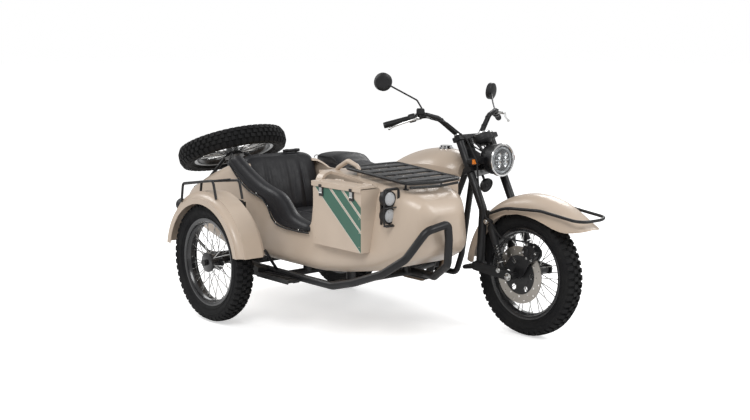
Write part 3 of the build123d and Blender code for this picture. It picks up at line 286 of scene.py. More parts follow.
class Shape:
    """The faces of one piece, each with its material."""

    def __init__(self):
        self.verts = []
        self.faces = []
        self.face_slots = []
        self.materials = []
        self.matrix = Matrix.Identity(4)

    def add(self, verts, faces, material):
        """Add faces, moved by the shape's present matrix."""
        if material not in self.materials:
            self.materials.append(material)
        base = len(self.verts)
        slot = self.materials.index(material)
        self.verts += [self.matrix @ Vector(vert) for vert in verts]
        for face in faces:
            self.faces.append([base + index for index in face])
            self.face_slots.append(slot)

    def grid(self, rows, material, wrap=False, close=False):
        """Quads between rows of points; wrap joins each row's ends, close the last row to the first."""
        verts = [point for row in rows for point in row]
        width = len(rows[0])
        faces = []
        for row in range(len(rows) - (0 if close else 1)):
            for column in range(width - (0 if wrap else 1)):
                right = (column + 1) % width
                up = (row + 1) % len(rows)
                this, above = row * width, up * width
                faces.append([this + column, this + right, above + right, above + column])
        self.add(verts, faces, material)

    def lathe(self, profile, centre, axis, material, steps=40, caps=True):
        """Turned form: profile is a table of radius and distance along the axis."""
        across, up, along = frame_for(axis)
        centre = Vector(centre)
        rows = []
        for radius, distance in profile:
            row = []
            for step in range(steps):
                angle = 2 * math.pi * step / steps
                way = across * math.cos(angle) + up * math.sin(angle)
                row.append(centre + along * distance + way * radius)
            rows.append(row)
        closed = profile[0] == profile[-1]
        if closed:
            rows.pop()
        self.grid(rows, material, wrap=True, close=closed)
        if caps and not closed:
            self.cap(rows[0], material)
            self.cap(rows[-1][::-1], material)

    def cap(self, ring, material):
        """One flat face."""
        self.add(ring, [list(range(len(ring)))], material)

    def tube(self, points, radius, material, bend=0, sides=12, closed=False, steps=5):
        """Round bar along a path."""
        path = rounded_path(points, bend, closed, steps)
        count = len(path)
        rows = []
        across = None
        for index, point in enumerate(path):
            if closed:
                along = path[(index + 1) % count] - path[index - 1]
            else:
                along = path[min(index + 1, count - 1)] - path[max(index - 1, 0)]
            along.normalize()
            if across is None:
                across, _, _ = frame_for(along)
            across = (across - along * across.dot(along)).normalized()
            up = along.cross(across)
            size = radius(index / (count - 1)) if callable(radius) else radius
            ring = []
            for side in range(sides):
                angle = 2 * math.pi * side / sides
                ring.append(point + (across * math.cos(angle) + up * math.sin(angle)) * size)
            rows.append(ring)
        self.grid(rows, material, wrap=True, close=closed)
        if not closed:
            self.cap(rows[0][::-1], material)
            self.cap(rows[-1], material)

    def rod(self, start, end, radius, material, sides=12):
        """Straight round bar."""
        self.tube([start, end], radius, material, sides=sides)

    def block(self, low, high, material):
        """Box between two corners, whichever way round."""
        xs, ys, zs = (sorted(pair) for pair in zip(low, high))
        verts = [(x, y, z) for x in xs for y in ys for z in zs]
        faces = [(0, 1, 3, 2), (4, 6, 7, 5), (0, 4, 5, 1), (2, 3, 7, 6), (0, 2, 6, 4), (1, 5, 7, 3)]
        self.add(verts, faces, material)

    def prism(self, outline, start, depth, material, right=AHEAD, up=UP):
        """Plate from a flat outline; start is where its zero point lies, depth the way it is thick."""
        right, up, start, depth = Vector(right), Vector(up), Vector(start), Vector(depth)
        near = [start + right * a + up * b for a, b in outline]
        far = [point + depth for point in near]
        if right.cross(up).dot(depth) > 0:
            near, far = far, near
        self.cap(near, material)
        self.cap(far[::-1], material)
        count = len(outline)
        faces = [[i, count + i, count + (i + 1) % count, (i + 1) % count] for i in range(count)]
        self.add(near + far, faces, material)

    def ball(self, centre, radius, material, stretch=(1, 1, 1), steps=16):
        """Round form, which may be stretched."""
        rows = []
        for ring in range(1, steps // 2):
            polar = math.pi * ring / (steps // 2)
            rows.append([
                Vector(centre) + Vector((
                    stretch[0] * radius * math.sin(polar) * math.cos(2 * math.pi * step / steps),
                    stretch[1] * radius * math.sin(polar) * math.sin(2 * math.pi * step / steps),
                    stretch[2] * radius * math.cos(polar),
                )) for step in range(steps)
            ])
        self.grid(rows, material, wrap=True)
        self.cap(rows[0], material)
        self.cap(rows[-1][::-1], material)

    def mesh(self, name, weld=0.00002):
        """Mesh in metres, with points nearer than weld joined."""
        mesh = bpy.data.meshes.new(name)
        mesh.from_pydata([metres(vert) for vert in self.verts], [], self.faces)
        for material in self.materials:
            mesh.materials.append(material)
        mesh.polygons.foreach_set("material_index", self.face_slots)
        mesh.polygons.foreach_set("use_smooth", [True] * len(self.faces))
        work = bmesh.new()
        work.from_mesh(mesh)
        bmesh.ops.remove_doubles(work, verts=work.verts, dist=weld)
        bmesh.ops.recalc_face_normals(work, faces=work.faces)
        work.to_mesh(mesh)
        work.free()
        return mesh

    def finish(self, name, body, slot, nodes=(), sharp=38, bevel=0, subdivide=0, thickness=0):
        """Make the object, on its body, in place of the nodes it stands for."""
        mesh = self.mesh(name)
        if not subdivide:
            mesh.set_sharp_from_angle(angle=math.radians(sharp))
        piece = add_object(name, mesh)
        if thickness:
            solid = piece.modifiers.new("sheet", "SOLIDIFY")
            solid.thickness = thickness / 1000
            solid.offset = -1
        if bevel:
            edge = piece.modifiers.new("edge", "BEVEL")
            edge.width = bevel / 1000
            edge.segments = 2
            edge.limit_method = "ANGLE"
            edge.angle_limit = math.radians(40)
            edge.harden_normals = True
        if subdivide:
            smooth = piece.modifiers.new("smooth", "SUBSURF")
            smooth.levels = smooth.render_levels = subdivide
        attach(piece, body)
        if nodes:
            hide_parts(*nodes)
        return piece


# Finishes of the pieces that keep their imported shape


def radial_mix(name, centre, steps, inner, outer):
    """Finish that changes with the distance from a wheel's axis, which lies along y.

    steps are the radii between which the inner look holds, in millimetres.
    """
    material = bpy.data.materials.new(name)
    tree, shader = nodes_of(material)
    place = tree.nodes.new("ShaderNodeTexCoord").outputs["Object"]
    offset = new_node(tree, "ShaderNodeVectorMath", {0: place, 1: metres(centre)})
    offset.operation = "SUBTRACT"
    flat = new_node(tree, "ShaderNodeVectorMath", {0: offset.outputs["Vector"], 1: (1, 0, 1)})
    flat.operation = "MULTIPLY"
    length = new_node(tree, "ShaderNodeVectorMath", {0: flat.outputs["Vector"]})
    length.operation = "LENGTH"
    low, high = (step / 1000 for step in steps)
    inside = spread(tree, length.outputs["Value"], 0, 1, low, low + 0.0005)
    outside = spread(tree, length.outputs["Value"], 1, 0, high, high + 0.0005)
    both = new_node(tree, "ShaderNodeMath", {0: inside, 1: outside})
    both.operation = "MULTIPLY"
    chosen = both.outputs["Value"]
    tree.links.new(blend_colours(tree, chosen, outer[0], inner[0]), shader.inputs["Base Color"])
    for socket, index in (("Roughness", 1), ("Metallic", 2)):
        tree.links.new(spread(tree, chosen, outer[index], inner[index], 0, 1), shader.inputs[socket])
    add_bump(tree, shader, add_noise(tree, 1100, 3), 0.25, 0.0002)
    return material


FRONT_AXLE = (WHEELBASE, 0, TYRE_R)
REAR_AXLE = (0, 0, TYRE_R)
SIDE_AXLE = (LEAD, -TRACK, TYRE_R)

DISC_BLADE = ((0.50, 0.47, 0.43), 0.30, 1.0)
DISC_CARRIER = ((0.02, 0.02, 0.021), 0.42, 0.0)
BRAKE_DISC = radial_mix("drilled_disc", FRONT_AXLE, (103, 400), DISC_BLADE, DISC_CARRIER)

FINISHES = (
    # material, nodes
    (BEIGE, "fuel_tank side_panels rear_fender front_fender sidecar_fender outer_box inner_box"),
    (BEIGE, "outer_box_lid inner_box_lid trunk_lid grab_handle"),
    (BLACK, "main_frame rear_swingarm foot_controls fork fork_link fender_bar handlebar mirrors headlight"),
    (BLACK, "sidecar_frame sidecar_arm footboard nose_rack fender_rail spare_carrier brake_caliper"),
    (BRAKE_DISC, "front_disc"),
    (ENGINE, "crankcase engine_cylinder"),
    (HEADER, "exhaust"),
    (ALLOY, "drive_chain"),
    (CHROME, "fuel_cap"),
    (SILVER, "hand_levers"),
    (PLASTIC, "air_box instrument tail_lamps fog_lamps indicators"),
    (RUBBER, "grips brake_hose"),
)


def finish_frame():
    """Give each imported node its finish."""
    for material, names in FINISHES:
        for name in names.split():
            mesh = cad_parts[name].data
            mesh.materials.clear()
            mesh.materials.append(material)


# Wheels

DECK_SLOPE = math.atan2(DECK_FRONT.z - DECK_REAR.z, DECK_FRONT.x - DECK_REAR.x)
SPARE_ALONG = 170
SPARE_HEIGHT = 166


def deck_matrix():
    """Place and directions of the tail deck."""
    along = Vector((math.cos(DECK_SLOPE), 0, math.sin(DECK_SLOPE)))
    normal = Vector((-math.sin(DECK_SLOPE), 0, math.cos(DECK_SLOPE)))
    turn = Matrix((along, normal.cross(along), normal)).transposed()
    return Matrix.Translation(DECK_REAR) @ turn.to_4x4()


DECK = deck_matrix()
SPARE = DECK @ Matrix.Translation((SPARE_ALONG, 0, SPARE_HEIGHT)) @ Matrix.Rotation(math.pi / 2, 4, "X")

CARCASS = (
    # radius, half width, from the bead to the tread
    (229.5, 33), (242, 33.5), (247, 40), (252, 45), (264, 50), (280, 54), (294, 55), (303, 52), (311, 42),
    (316, 26), (318, 10),
)
BLOCKS_PER_TURN = 52
TREAD_ROWS = (
    # y inside, y outside, radius at the top inside, at the top outside, depth, share of the pitch, phase
    (2, 23, 329.3, 328.2, 12, 0.66, 0.0),
    (-23, -2, 328.2, 329.3, 12, 0.66, 0.5),
    (27, 52, 326.6, 314.0, 14, 0.72, 0.5),
    (-52, -27, 314.0, 326.6, 14, 0.72, 0.0),
)


def mirrored(profile):
    """A profile's points on the wheel's other side, in the opposite order."""
    return tuple((radius, -y) for radius, y in reversed(profile))


def around(radius, angle, y):
    """Point of a wheel whose axis is y."""
    return Vector((radius * math.cos(angle), y, radius * math.sin(angle)))


def add_tyre(name, body, matrix, node):
    """Block-tread tyre."""
    shape = Shape()
    shape.matrix = matrix
    shape.lathe(CARCASS + mirrored(CARCASS) + CARCASS[:1], (0, 0, 0), LEFT, TYRE, steps=104)
    for radius, y in ((258, 50.5), (286, 57)):
        for side in (1, -1):
            low, high = side * (y - 3), side * (y - 0.2)
            ring = [(radius - 2.5, low), (radius - 1, high), (radius + 1, high), (radius + 2.5, low)]
            shape.lathe(ring + ring[:1], (0, 0, 0), LEFT, TYRE, steps=96)
    pitch = 2 * math.pi / BLOCKS_PER_TURN
    for y_in, y_out, r_in, r_out, depth, share, phase in TREAD_ROWS:
        for count in range(BLOCKS_PER_TURN):
            middle = pitch * (count + phase)
            top, base = pitch * share * 0.42, pitch * share * 0.54
            verts = []
            for half, drop, grow in ((top, 0, 0), (base, depth, 1.5)):
                for y, radius in ((y_in, r_in), (y_out, r_out)):
                    edge = grow if y == max(y_in, y_out) else -grow
                    for sign in (-1, 1):
                        verts.append(around(radius - drop, middle + sign * half, y + edge))
            shape.add(verts, [(0, 1, 3, 2), (0, 4, 5, 1), (1, 5, 7, 3), (3, 7, 6, 2), (2, 6, 4, 0)], TYRE)
    shape.finish(name, body, "tyre_rubber", [node], sharp=32)


# radius, y of the rim's outer side, where the tyre sits, and of its inner side
RIM_BED = ((242, 38), (242, 34.5), (236, 33), (231, 31), (229, 22), (226, 18), (217, 12))
RIM_BACK = ((212, 13), (221, 22), (224, 34), (232, 38))
RIM = RIM_BED + mirrored(RIM_BED) + mirrored(RIM_BACK) + RIM_BACK
HUBS = {
    # y, radius
    "front": ((-60, 34), (-36, 32), (-34, 50), (-28, 50), (-26, 32), (-12, 27), (12, 27), (26, 32), (28, 50),
              (34, 50), (36, 28), (60, 26)),
    "rear": ((-50, 40), (-36, 46), (-34, 60), (-28, 60), (-26, 44), (0, 40), (26, 44), (28, 60), (34, 60),
             (36, 46), (60, 45), (60, 84), (66, 84), (66, 40), (70, 30)),
    "side": ((-46, 48), (-42, 54), (-28, 54), (-26, 44), (0, 40), (26, 36), (28, 52), (34, 52), (36, 38),
             (50, 36)),
}
SPOKES = 36


def add_wheel(name, body, matrix, node, kind, flange):
    """Black rim and hub with crossed steel spokes and nipples."""
    shape = Shape()
    shape.matrix = matrix
    shape.lathe(RIM + RIM[:1], (0, 0, 0), LEFT, GLOSS_BLACK, steps=120)
    hub = [(10.5, HUBS[kind][0][0])] + [(radius, y) for y, radius in HUBS[kind]] + [(10.5, HUBS[kind][-1][0])]
    shape.lathe(hub + hub[:1], (0, 0, 0), LEFT, GLOSS_BLACK, steps=56)
    for count in range(SPOKES):
        side = 1 if count % 2 else -1
        lean = 14 if count % 4 < 2 else -14
        angle = 2 * math.pi / SPOKES * count
        root = around(flange - 4, angle - math.radians(lean), side * (31.5 if lean > 0 else 30.5))
        tip = around(214, angle, side * 6)
        shape.rod(root, tip, 2.3, SILVER, sides=7)
        inward = (root - tip).normalized()
        shape.tube([tip, tip + inward * 13], 3.4, SILVER, sides=8)
        shape.ball(root + Vector((0, side * 3.6, 0)), 3.6, SILVER, steps=8)
    shape.finish(name, body, "wheel_black", [node], sharp=34)


def add_wheels():
    """The three wheels on the road and the spare."""
    table = (
        # name, body, place, kind, flange radius, node stem
        ("front", "front_wheel", Matrix.Translation(FRONT_AXLE), "front", 50),
        ("rear", "rear_wheel", Matrix.Translation(REAR_AXLE), "rear", 60),
        ("sidecar", "sidecar_wheel", Matrix.Translation(SIDE_AXLE), "side", 52),
        ("spare", "luggage_lid", SPARE, "side", 52),
    )
    for stem, body, matrix, kind, flange in table:
        add_tyre(stem + "_tread_tyre", body, matrix, stem + "_tyre")
        add_wheel(stem + "_wire_wheel", body, matrix, stem + "_rim", kind, flange)


# Sidecar body

HULL = (
    # x, underside, top, half width low, half width high, corner radius
    (-600, 520, 601.4, 170, 160, 30),
    (-450, 450, 660, 240, 228, 50),
    (-130, 382, 785, 288, 272, 60),
    (60, 352, 835, 302, 284, 60),
    (800, 345, 862, 312, 270, 70),
    (1259, 398, 822, 292, 214, 80),
    (1400, 450, 795, 240, 190, 80),
    (1480, 488, 760, 180, 146, 70),
    (1516, 530, 700, 110, 96, 50),
)
TUB_WALL = 14


def smooth_value(table, column, x):
    """Value of a column at x, on a curve without overshoot."""
    xs = [row[0] for row in table]
    ys = [row[column] for row in table]
    x = min(max(x, xs[0]), xs[-1])
    slopes = [(ys[i + 1] - ys[i]) / (xs[i + 1] - xs[i]) for i in range(len(xs) - 1)]
    tangents = [slopes[0]]
    for left, right in zip(slopes, slopes[1:]):
        tangents.append(0 if left * right <= 0 else 2 * left * right / (left + right))
    tangents.append(slopes[-1])
    index = max(i for i in range(len(xs) - 1) if xs[i] <= x)
    width = xs[index + 1] - xs[index]
    t = (x - xs[index]) / width
    return (
        (2 * t**3 - 3 * t**2 + 1) * ys[index]
        + (t**3 - 2 * t**2 + t) * width * tangents[index]
        + (-2 * t**3 + 3 * t**2) * ys[index + 1]
        + (t**3 - t**2) * width * tangents[index + 1]
    )


def hull_ring(x, inset, shrink=1.0):
    """Points of one cross section of the tub."""
    low, top, wide, narrow, corner = (smooth_value(HULL, column, x) for column in range(1, 6))
    wide, narrow, low, top = wide - inset, narrow - inset, low + inset, top - inset
    corner = max(corner - inset, 10)
    outline = [(-wide, low), (wide, low), (narrow, top), (-narrow, top)]
    middle = (low + top) / 2
    points = flat_path(outline, corner, pieces=10)
    return [Vector((x, TUB_Y + y * shrink, middle + (z - middle) * shrink)) for y, z in points]


def hull_mesh(inset, start, end, round_nose=False):
    """Closed shape of the tub between two values of x."""
    xs = [start + (end - start) * step / 60 for step in range(61)]
    xs = sorted(set(xs + [row[0] for row in HULL if start < row[0] < end]))
    rows = [hull_ring(x, inset) for x in xs]
    if round_nose:
        rows.pop()
        for step in range(1, 7):
            angle = math.pi / 2 * step / 6
            rows.append(hull_ring(end - 14 + 14 * math.sin(angle), inset, 1 - 0.16 * (1 - math.cos(angle))))
    shape = Shape()
    shape.grid(rows, BEIGE, wrap=True)
    shape.cap(rows[0][::-1], BEIGE)
    shape.cap(rows[-1], BEIGE)
    return shape


def cut_away(piece, cutters):
    """Cut shapes from an object and keep the plain mesh."""
    for cutter in cutters:
        other = add_object("cutter", cutter.mesh("cutter", 0.00001))
        step = piece.modifiers.new("cut", "BOOLEAN")
        step.operation = "DIFFERENCE"
        step.solver = "EXACT"
        step.object = other
        bpy.context.view_layer.update()
        made = bpy.data.meshes.new_from_object(piece.evaluated_get(bpy.context.evaluated_depsgraph_get()))
        piece.modifiers.remove(step)
        piece.data = made
        bpy.data.objects.remove(other)


def prism_cutter(points, low, high, bend, up, depth):
    """Prism for cutting: its outline lies in x and up, and it reaches from low to high along depth."""
    shape = Shape()
    depth = Vector(depth)
    shape.prism(flat_path(points, bend, 6), depth * low, depth * (high - low), BEIGE, up=up)
    return shape


OUTER_DIP = ((118, 990), (150, 832), (390, 723), (529, 699), (636, 592), (812, 562), (830, 990))
INNER_DIP = ((118, 990), (150, 832), (240, 790), (720, 780), (812, 850), (830, 990))
LID_ENDS = (-118, 324)
LID_HALF = (150, 185)
LID_HINGE = (-128, 14)
COCKPIT_X = (118, 812)
COCKPIT_HALF = 220


def deck_outline(overlap):
    """Outline of the luggage lid or of its opening, in the deck's directions."""
    rear, front = LID_ENDS[0] + overlap, LID_ENDS[1] - overlap
    low, high = (half - overlap for half in LID_HALF)
    corners = [(rear, -low), (front, -high), (front, high), (rear, low)]
    return flat_path(corners, 18, 6)


def add_tub():
    """Smooth hollow body with the cockpit, the luggage room and the recesses for the boxes."""
    shell = hull_mesh(0, HULL[0][0], HULL[-1][0], round_nose=True)
    piece = shell.finish("smooth_tub", "chassis", "beige_paint", ["sidecar_tub"])
    cutters = [
        hull_mesh(TUB_WALL, HULL[0][0] + TUB_WALL, 38),
        hull_mesh(TUB_WALL, 52, HULL[-1][0] - TUB_WALL),
    ]
    rear, front = COCKPIT_X
    right, left = TUB_Y - COCKPIT_HALF, TUB_Y + COCKPIT_HALF
    mouth = [(rear, right), (front, right), (front, left), (rear, left)]
    cutters.append(prism_cutter(mouth, 560, 960, 60, LEFT, UP))
    cutters.append(prism_cutter(OUTER_DIP, TUB_Y - 400, TUB_Y - 215, 46, UP, LEFT))
    cutters.append(prism_cutter(INNER_DIP, TUB_Y + 215, TUB_Y + 400, 46, UP, LEFT))
    hole = Shape()
    hole.matrix = DECK
    hole.prism(deck_outline(24), (0, 0, -45), (0, 0, 90), BEIGE, up=LEFT)
    cutters.append(hole)
    for side in (1, -1):
        near, far = TUB_Y + side * BOX_REACH[0], TUB_Y + side * 400
        room = Shape()
        room.block((BOX_X[0], near, BOX_Z[0]), (BOX_X[1], far, 900), BEIGE)
        lid = Shape()
        lid.block((BOX_X[0] - 10, near - side * 8, BOX_Z[1] - 6), (BOX_X[1] + 10, far, 960), BEIGE)
        cutters += [room, lid]
    cut_away(piece, cutters)
    mesh = piece.data
    mesh.polygons.foreach_set("use_smooth", [True] * len(mesh.polygons))
    mesh.set_sharp_from_angle(angle=math.radians(28))

    knuckles = Shape()
    knuckles.matrix = DECK
    x, z = LID_HINGE
    for side in (1, -1):
        y = side * 40
        knuckles.lathe([(8, -20), (8, 20)], (x, y, z), LEFT, BLACK, steps=20)
        knuckles.block((x - 5, y - 20, -2), (x + 5, y + 20, z), BLACK)
    knuckles.lathe([(4, -60), (4, 60)], (x, 0, z), LEFT, SILVER, steps=16)
    knuckles.finish("luggage_hinge_knuckles", "chassis", "black_frame")


STRIPE_TOP = 797
STRIPE_END = 1258
STRIPES = (
    # x of the two upper corners, z of the two lower corners, x of the last corner, material
    (897, 1010, 596, 502, STRIPE_END, GREEN),
    (1033, 1106, 671, 612, STRIPE_END, GREEN),
    (1129, 1167, 727, 689, STRIPE_END, GREEN),
    (1010, 1014, 600, 596, STRIPE_END, PALE),
    (1029, 1033, 612, 608, STRIPE_END, PALE),
    (1106, 1110, 675, 671, STRIPE_END, PALE),
    (1125, 1129, 689, 685, STRIPE_END, PALE),
    (893, 897, 502, 502, 1253, PALE),
)


def add_boxes():
    """Stripes, latches, seams and catches of the two side boxes."""
    x_low, x_high = BOX_X
    for side, stem in ((-1, "outer"), (1, "inner")):
        face = TUB_Y + side * BOX_REACH[1]
        details = Shape()
        for x in (x_low + 70, x_high - 70):
            details.block((x - 17, face, 752), (x + 17, face + side * 4, 798), BLACK)
            details.block((x - 11, face, 770), (x + 11, face + side * 8, 796), SILVER)
            details.rod((x - 13, face + side * 6, 768), (x + 13, face + side * 6, 768), 2.6, SILVER)
        for x in (x_low + 14, x_high - 14):
            for z in (530, 600, 670, 740):
                details.ball((x, face + side * 0.5, z), 3.2, BEIGE, stretch=(1, 0.5, 1), steps=8)
        details.finish(stem + "_box_fittings", "chassis", "black_frame")
        lid = Shape()
        near, far = TUB_Y + side * (BOX_REACH[0] + 34), TUB_Y + side * (BOX_REACH[1] - 10)
        bar = [(x_low + 26, near), (x_high - 26, near), (x_high - 26, far), (x_low + 26, far)]
        lid.tube([(x, y, 825.4) for x, y in flat_path(bar, 16)], 1.7, BEIGE, closed=True, sides=8)
        for x in (x_low + 70, x_high - 70):
            edge = TUB_Y + side * (BOX_REACH[1] + 8)
            lid.block((x - 9, edge, 799), (x + 9, edge + side * 5, 812), BLACK)
        lid.finish(stem + "_lid_trim", stem + "_lid", "beige_paint")
    stripes = Shape()
    for left, right, z_high, z_low, last, material in STRIPES:
        y = TUB_Y - BOX_REACH[1] - (0.8 if material is GREEN else 1.1)
        corners = ((left, STRIPE_TOP), (right, STRIPE_TOP), (STRIPE_END, z_high), (last, z_low))
        stripes.add([(x, y, z) for x, z in corners], [(0, 1, 2, 3)], material)
    stripes.finish("outer_box_stripes", "chassis", "beige_paint")


# Soft pieces


def pad_mesh(name, node, place, power, cuts, fold):
    """Stuffed closed form: place maps three shares from -1 to 1 onto the piece, and fold adds its seams."""
    shape = Shape()
    for axis in range(3):
        for sign in (-1, 1):
            rows = []
            for first in range(cuts + 1):
                row = []
                for second in range(cuts + 1):
                    share = [0.0, 0.0, 0.0]
                    share[axis] = sign
                    share[(axis + 1) % 3] = math.tan((2 * first / cuts - 1) * math.pi / 4)
                    share[(axis + 2) % 3] = math.tan((2 * second / cuts - 1) * math.pi / 4)
                    size = sum(abs(value) ** power for value in share) ** (1 / power)
                    a, b, c = (value / size for value in share)
                    row.append(Vector(place(a, b, c)) + Vector(fold(a, b, c)))
                rows.append(row)
            shape.grid(rows, VINYL)
    piece = shape.finish(name, "chassis", "black_vinyl", [node], subdivide=1)


def table_value(table, x):
    """Straight line between the rows of a table of two columns."""
    if x <= table[0][0]:
        return table[0][1]
    for (x0, y0), (x1, y1) in zip(table, table[1:]):
        if x <= x1:
            return y0 + (y1 - y0) * (x - x0) / (x1 - x0)
    return table[-1][1]


SADDLE_TOP = ((-156, 806), (-128, 836), (-100, 843), (60, 843), (96, 826), (128, 799), (200, 786), (280, 780),
              (430, 790), (500, 812))
SADDLE_LOW = ((-156, 762), (-140, 752), (430, 752), (470, 762), (500, 778))
SADDLE_HALF = ((-156, 104), (-110, 122), (60, 130), (160, 132), (300, 130), (420, 106), (500, 84))


def add_saddle():
    """Stepped dual saddle with its seams and ribs."""
    def place(a, b, c):
        x = 172 + 328 * a
        low, top = table_value(SADDLE_LOW, x), table_value(SADDLE_TOP, x)
        crown = 10 * (1 - b * b) * max(c, 0)
        half = table_value(SADDLE_HALF, x) * (0.94 + 0.06 * abs(c))
        return (x, half * b, low + (top - low) * (c + 1) / 2 + crown - 8)

    def fold(a, b, c):
        x = 172 + 328 * a
        if c < 0.5 or abs(b) > 0.86:
            return (0, 0, 0)
        rib = 0
        if -110 < x < 60 or 170 < x < 420:
            rib = -2.6 * max(0, math.cos(x / 34 * 2 * math.pi)) ** 6
        return (0, 0, rib)

    pad_mesh("stepped_saddle", "rider_saddle", place, 5, 48, fold)
    piping = Shape()
    for b in (1, -1):
        points = []
        for step in range(34):
            x = -140 + 620 * step / 33
            z = table_value(SADDLE_TOP, x)
            points.append((x, b * table_value(SADDLE_HALF, x) * 0.955, z - 17))
        piping.tube(points, 2.6, VINYL, sides=8)
    piping.finish("saddle_piping", "chassis", "black_vinyl")


def add_cockpit_seat():
    """Seat cushion and backrest of the sidecar, with the strap on top."""
    def seat(a, b, c):
        crown = 12 * (1 - a * a) * (1 - b * b) * max(c, 0)
        return (485 + 235 * a, TUB_Y + 235 * b, 530 + 56 * c + crown)

    def seat_fold(a, b, c):
        if c < 0.4:
            return (0, 0, 0)
        groove = -7 * math.exp(-((abs(b) - 0.36) / 0.035) ** 2) - 7 * math.exp(-((a + 0.05) / 0.03) ** 2)
        wave = 1.4 * noise.noise(Vector((a * 5, b * 5, 2.0)))
        return (0, 0, groove * max(0, 1 - a**4) * max(0, 1 - b**6) + wave)

    pad_mesh("cockpit_cushion", "sidecar_seat", seat, 5, 40, seat_fold)

    front = ((470, 240), (600, 226), (740, 188), (872, 150), (884, 128))

    def back(a, b, c):
        z = 677 + 205 * c
        depth = table_value(front, z) - 56
        bulge = 14 * (1 - b * b) * max(a, 0) * math.cos((z - 690) / 230 * math.pi / 2)
        return (56 + depth * (a + 1) / 2 + bulge - 6 * max(a, 0), TUB_Y + 246 * b, z)

    def back_fold(a, b, c):
        if a < 0.3:
            return (0, 0, 0)
        fall = 1 - abs(c) ** 3
        wave = 3.4 * math.sin(b * 21 + 1.6 * noise.noise(Vector((b * 3, c * 1.3, 5)))) ** 3
        soft = 5 * noise.noise(Vector((b * 4.2, c * 1.1, 9)))
        seam = -7 * math.exp(-((abs(b) - 0.5) / 0.03) ** 2)
        return ((wave * 0.6 + soft + seam) * fall * (1 - b**8), 0, 0)

    pad_mesh("cockpit_backrest", "sidecar_backrest", back, 6, 56, back_fold)

    strap = Shape()
    strap.tube([(118, TUB_Y + 40, 892), (118, TUB_Y + 150, 893)], 9, VINYL, sides=14)
    for y in (TUB_Y + 62, TUB_Y + 128):
        strap.lathe([(10.4, -7), (10.4, 7)], (118, y, 892.5), LEFT, VINYL, steps=20)
    piece = strap.finish("backrest_strap", "chassis", "black_vinyl")


# Springs, lamps and small fittings


# x and z of the struts' lower and upper eyes
LINK_EYES = ((1478, 352), (1380, 590))
SHOCK_EYES = ((18, 352), (100, 700))
SIDECAR_EYES = ((262, 352), (290, 640))
COIL_STEPS = 16


def add_spring(shape, eyes, y, radius, turns, shroud, body_radius=12, wire=4.4):
    """Coil spring and damper between two eyes; the shroud covers that share at the top."""
    low, high = (Vector((x, y, z)) for x, z in eyes)
    across, up, along = frame_for(high - low)
    length = (high - low).length
    start, end = 0.17 * length, (0.93 - shroud) * length
    coil = []
    for step in range(turns * COIL_STEPS + 1):
        angle = 2 * math.pi * step / COIL_STEPS
        reach = start + (end - start) * step / (turns * COIL_STEPS)
        coil.append(low + along * reach + (across * math.cos(angle) + up * math.sin(angle)) * (radius - wire))
    shape.tube(coil, wire, BLACK, sides=8)
    shape.lathe([(body_radius, 0.04 * length), (body_radius, 0.3 * length)], low, along, BLACK, steps=24)
    shaft = body_radius * 0.55
    shape.lathe([(shaft, 0.3 * length), (shaft, 0.94 * length)], low, along, SILVER, steps=20)
    seat = [(body_radius, start - 9), (radius, start - 7), (radius, start - 2), (body_radius, start)]
    shape.lathe(seat, low, along, SILVER, steps=32)
    cover = [(radius, end), (radius + 1, end + 3), (radius + 1, 0.9 * length), (radius * 0.7, 0.94 * length)]
    shape.lathe(cover, low, along, PLASTIC, steps=36)
    for eye in (low, high):
        shape.lathe(drum(12, 15, 2, 3), eye, LEFT, BLACK, steps=24)
        shape.lathe(drum(8, 19, 1, 2), eye, LEFT, SILVER, steps=6)


def add_struts():
    """The fork's two struts, the motorcycle's rear pair and the sidecar wheel's own."""
    front = Shape()
    for side in (1, -1):
        add_spring(front, LINK_EYES, side * FORK_Y, 20, 6, 0.42)
    front.finish("fork_struts", "steering", "black_frame", ["front_struts"])
    rear = Shape()
    for side in (1, -1):
        add_spring(rear, SHOCK_EYES, side * 132, 22, 9, 0.16, 13, 4.8)
    add_spring(rear, SIDECAR_EYES, -955, 19, 8, 0.2)
    rear.finish("rear_struts", "chassis", "black_frame", ["suspension_struts"])


def add_headlight():
    """Pale bezel, ring of light, bar with two reflectors and the clear glass."""
    bezel = Shape()
    rim = [(80, 46), (84, 56), (88, 62), (86, 65.5), (80, 66), (77, 63), (76.5, 50)]
    bezel.lathe(rim, HEADLIGHT, AHEAD, CHROME, steps=72, caps=False)
    for angle in (0.9, 2.2, 4.1, 5.4):
        spot = HEADLIGHT + Vector((52, 87 * math.cos(angle), 87 * math.sin(angle)))
        bezel.ball(spot, 3, SILVER, steps=8)
    bezel.finish("headlight_bezel", "steering", "bright_metal")
    inside = Shape()
    dish = [(75.5, 47), (75.5, 52), (70, 55), (57, 55), (54, 48), (0.1, 47.4)]
    inside.lathe(dish, HEADLIGHT, AHEAD, PLASTIC, steps=64)
    ring = [(58, 55.2), (60, 57.4), (68, 57.4), (70, 55.2)]
    inside.lathe(ring, HEADLIGHT, AHEAD, LAMP_WHITE, steps=72, caps=False)
    reflector = [(18, 0), (19, 5), (16, 3.6), (8, 1.2), (0.1, 0.8)]
    x = HEADLIGHT.x
    for side in (-1, 1):
        inside.block((x + 48, side * 6, 900), (x + 55, side * 50, 908), CHROME)
        for z in (926, 882):
            inside.lathe(reflector, (x + 47.5, side * 24, z), AHEAD, CHROME, steps=32, caps=False)
            inside.ball((x + 50, side * 24, z), 6.4, LAMP_WHITE, steps=12)
    inside.finish("headlight_reflector", "steering", "bright_metal", sharp=50)
    glass = Shape()
    lens = [(76, 57), (76, 60), (60, 62.5), (36, 64), (0.1, 64.8)]
    glass.lathe(lens, HEADLIGHT, AHEAD, GLASS, steps=64, caps=False)
    glass.finish("headlight_glass", "steering", "clear_lens", ["headlight_lens"], sharp=60)


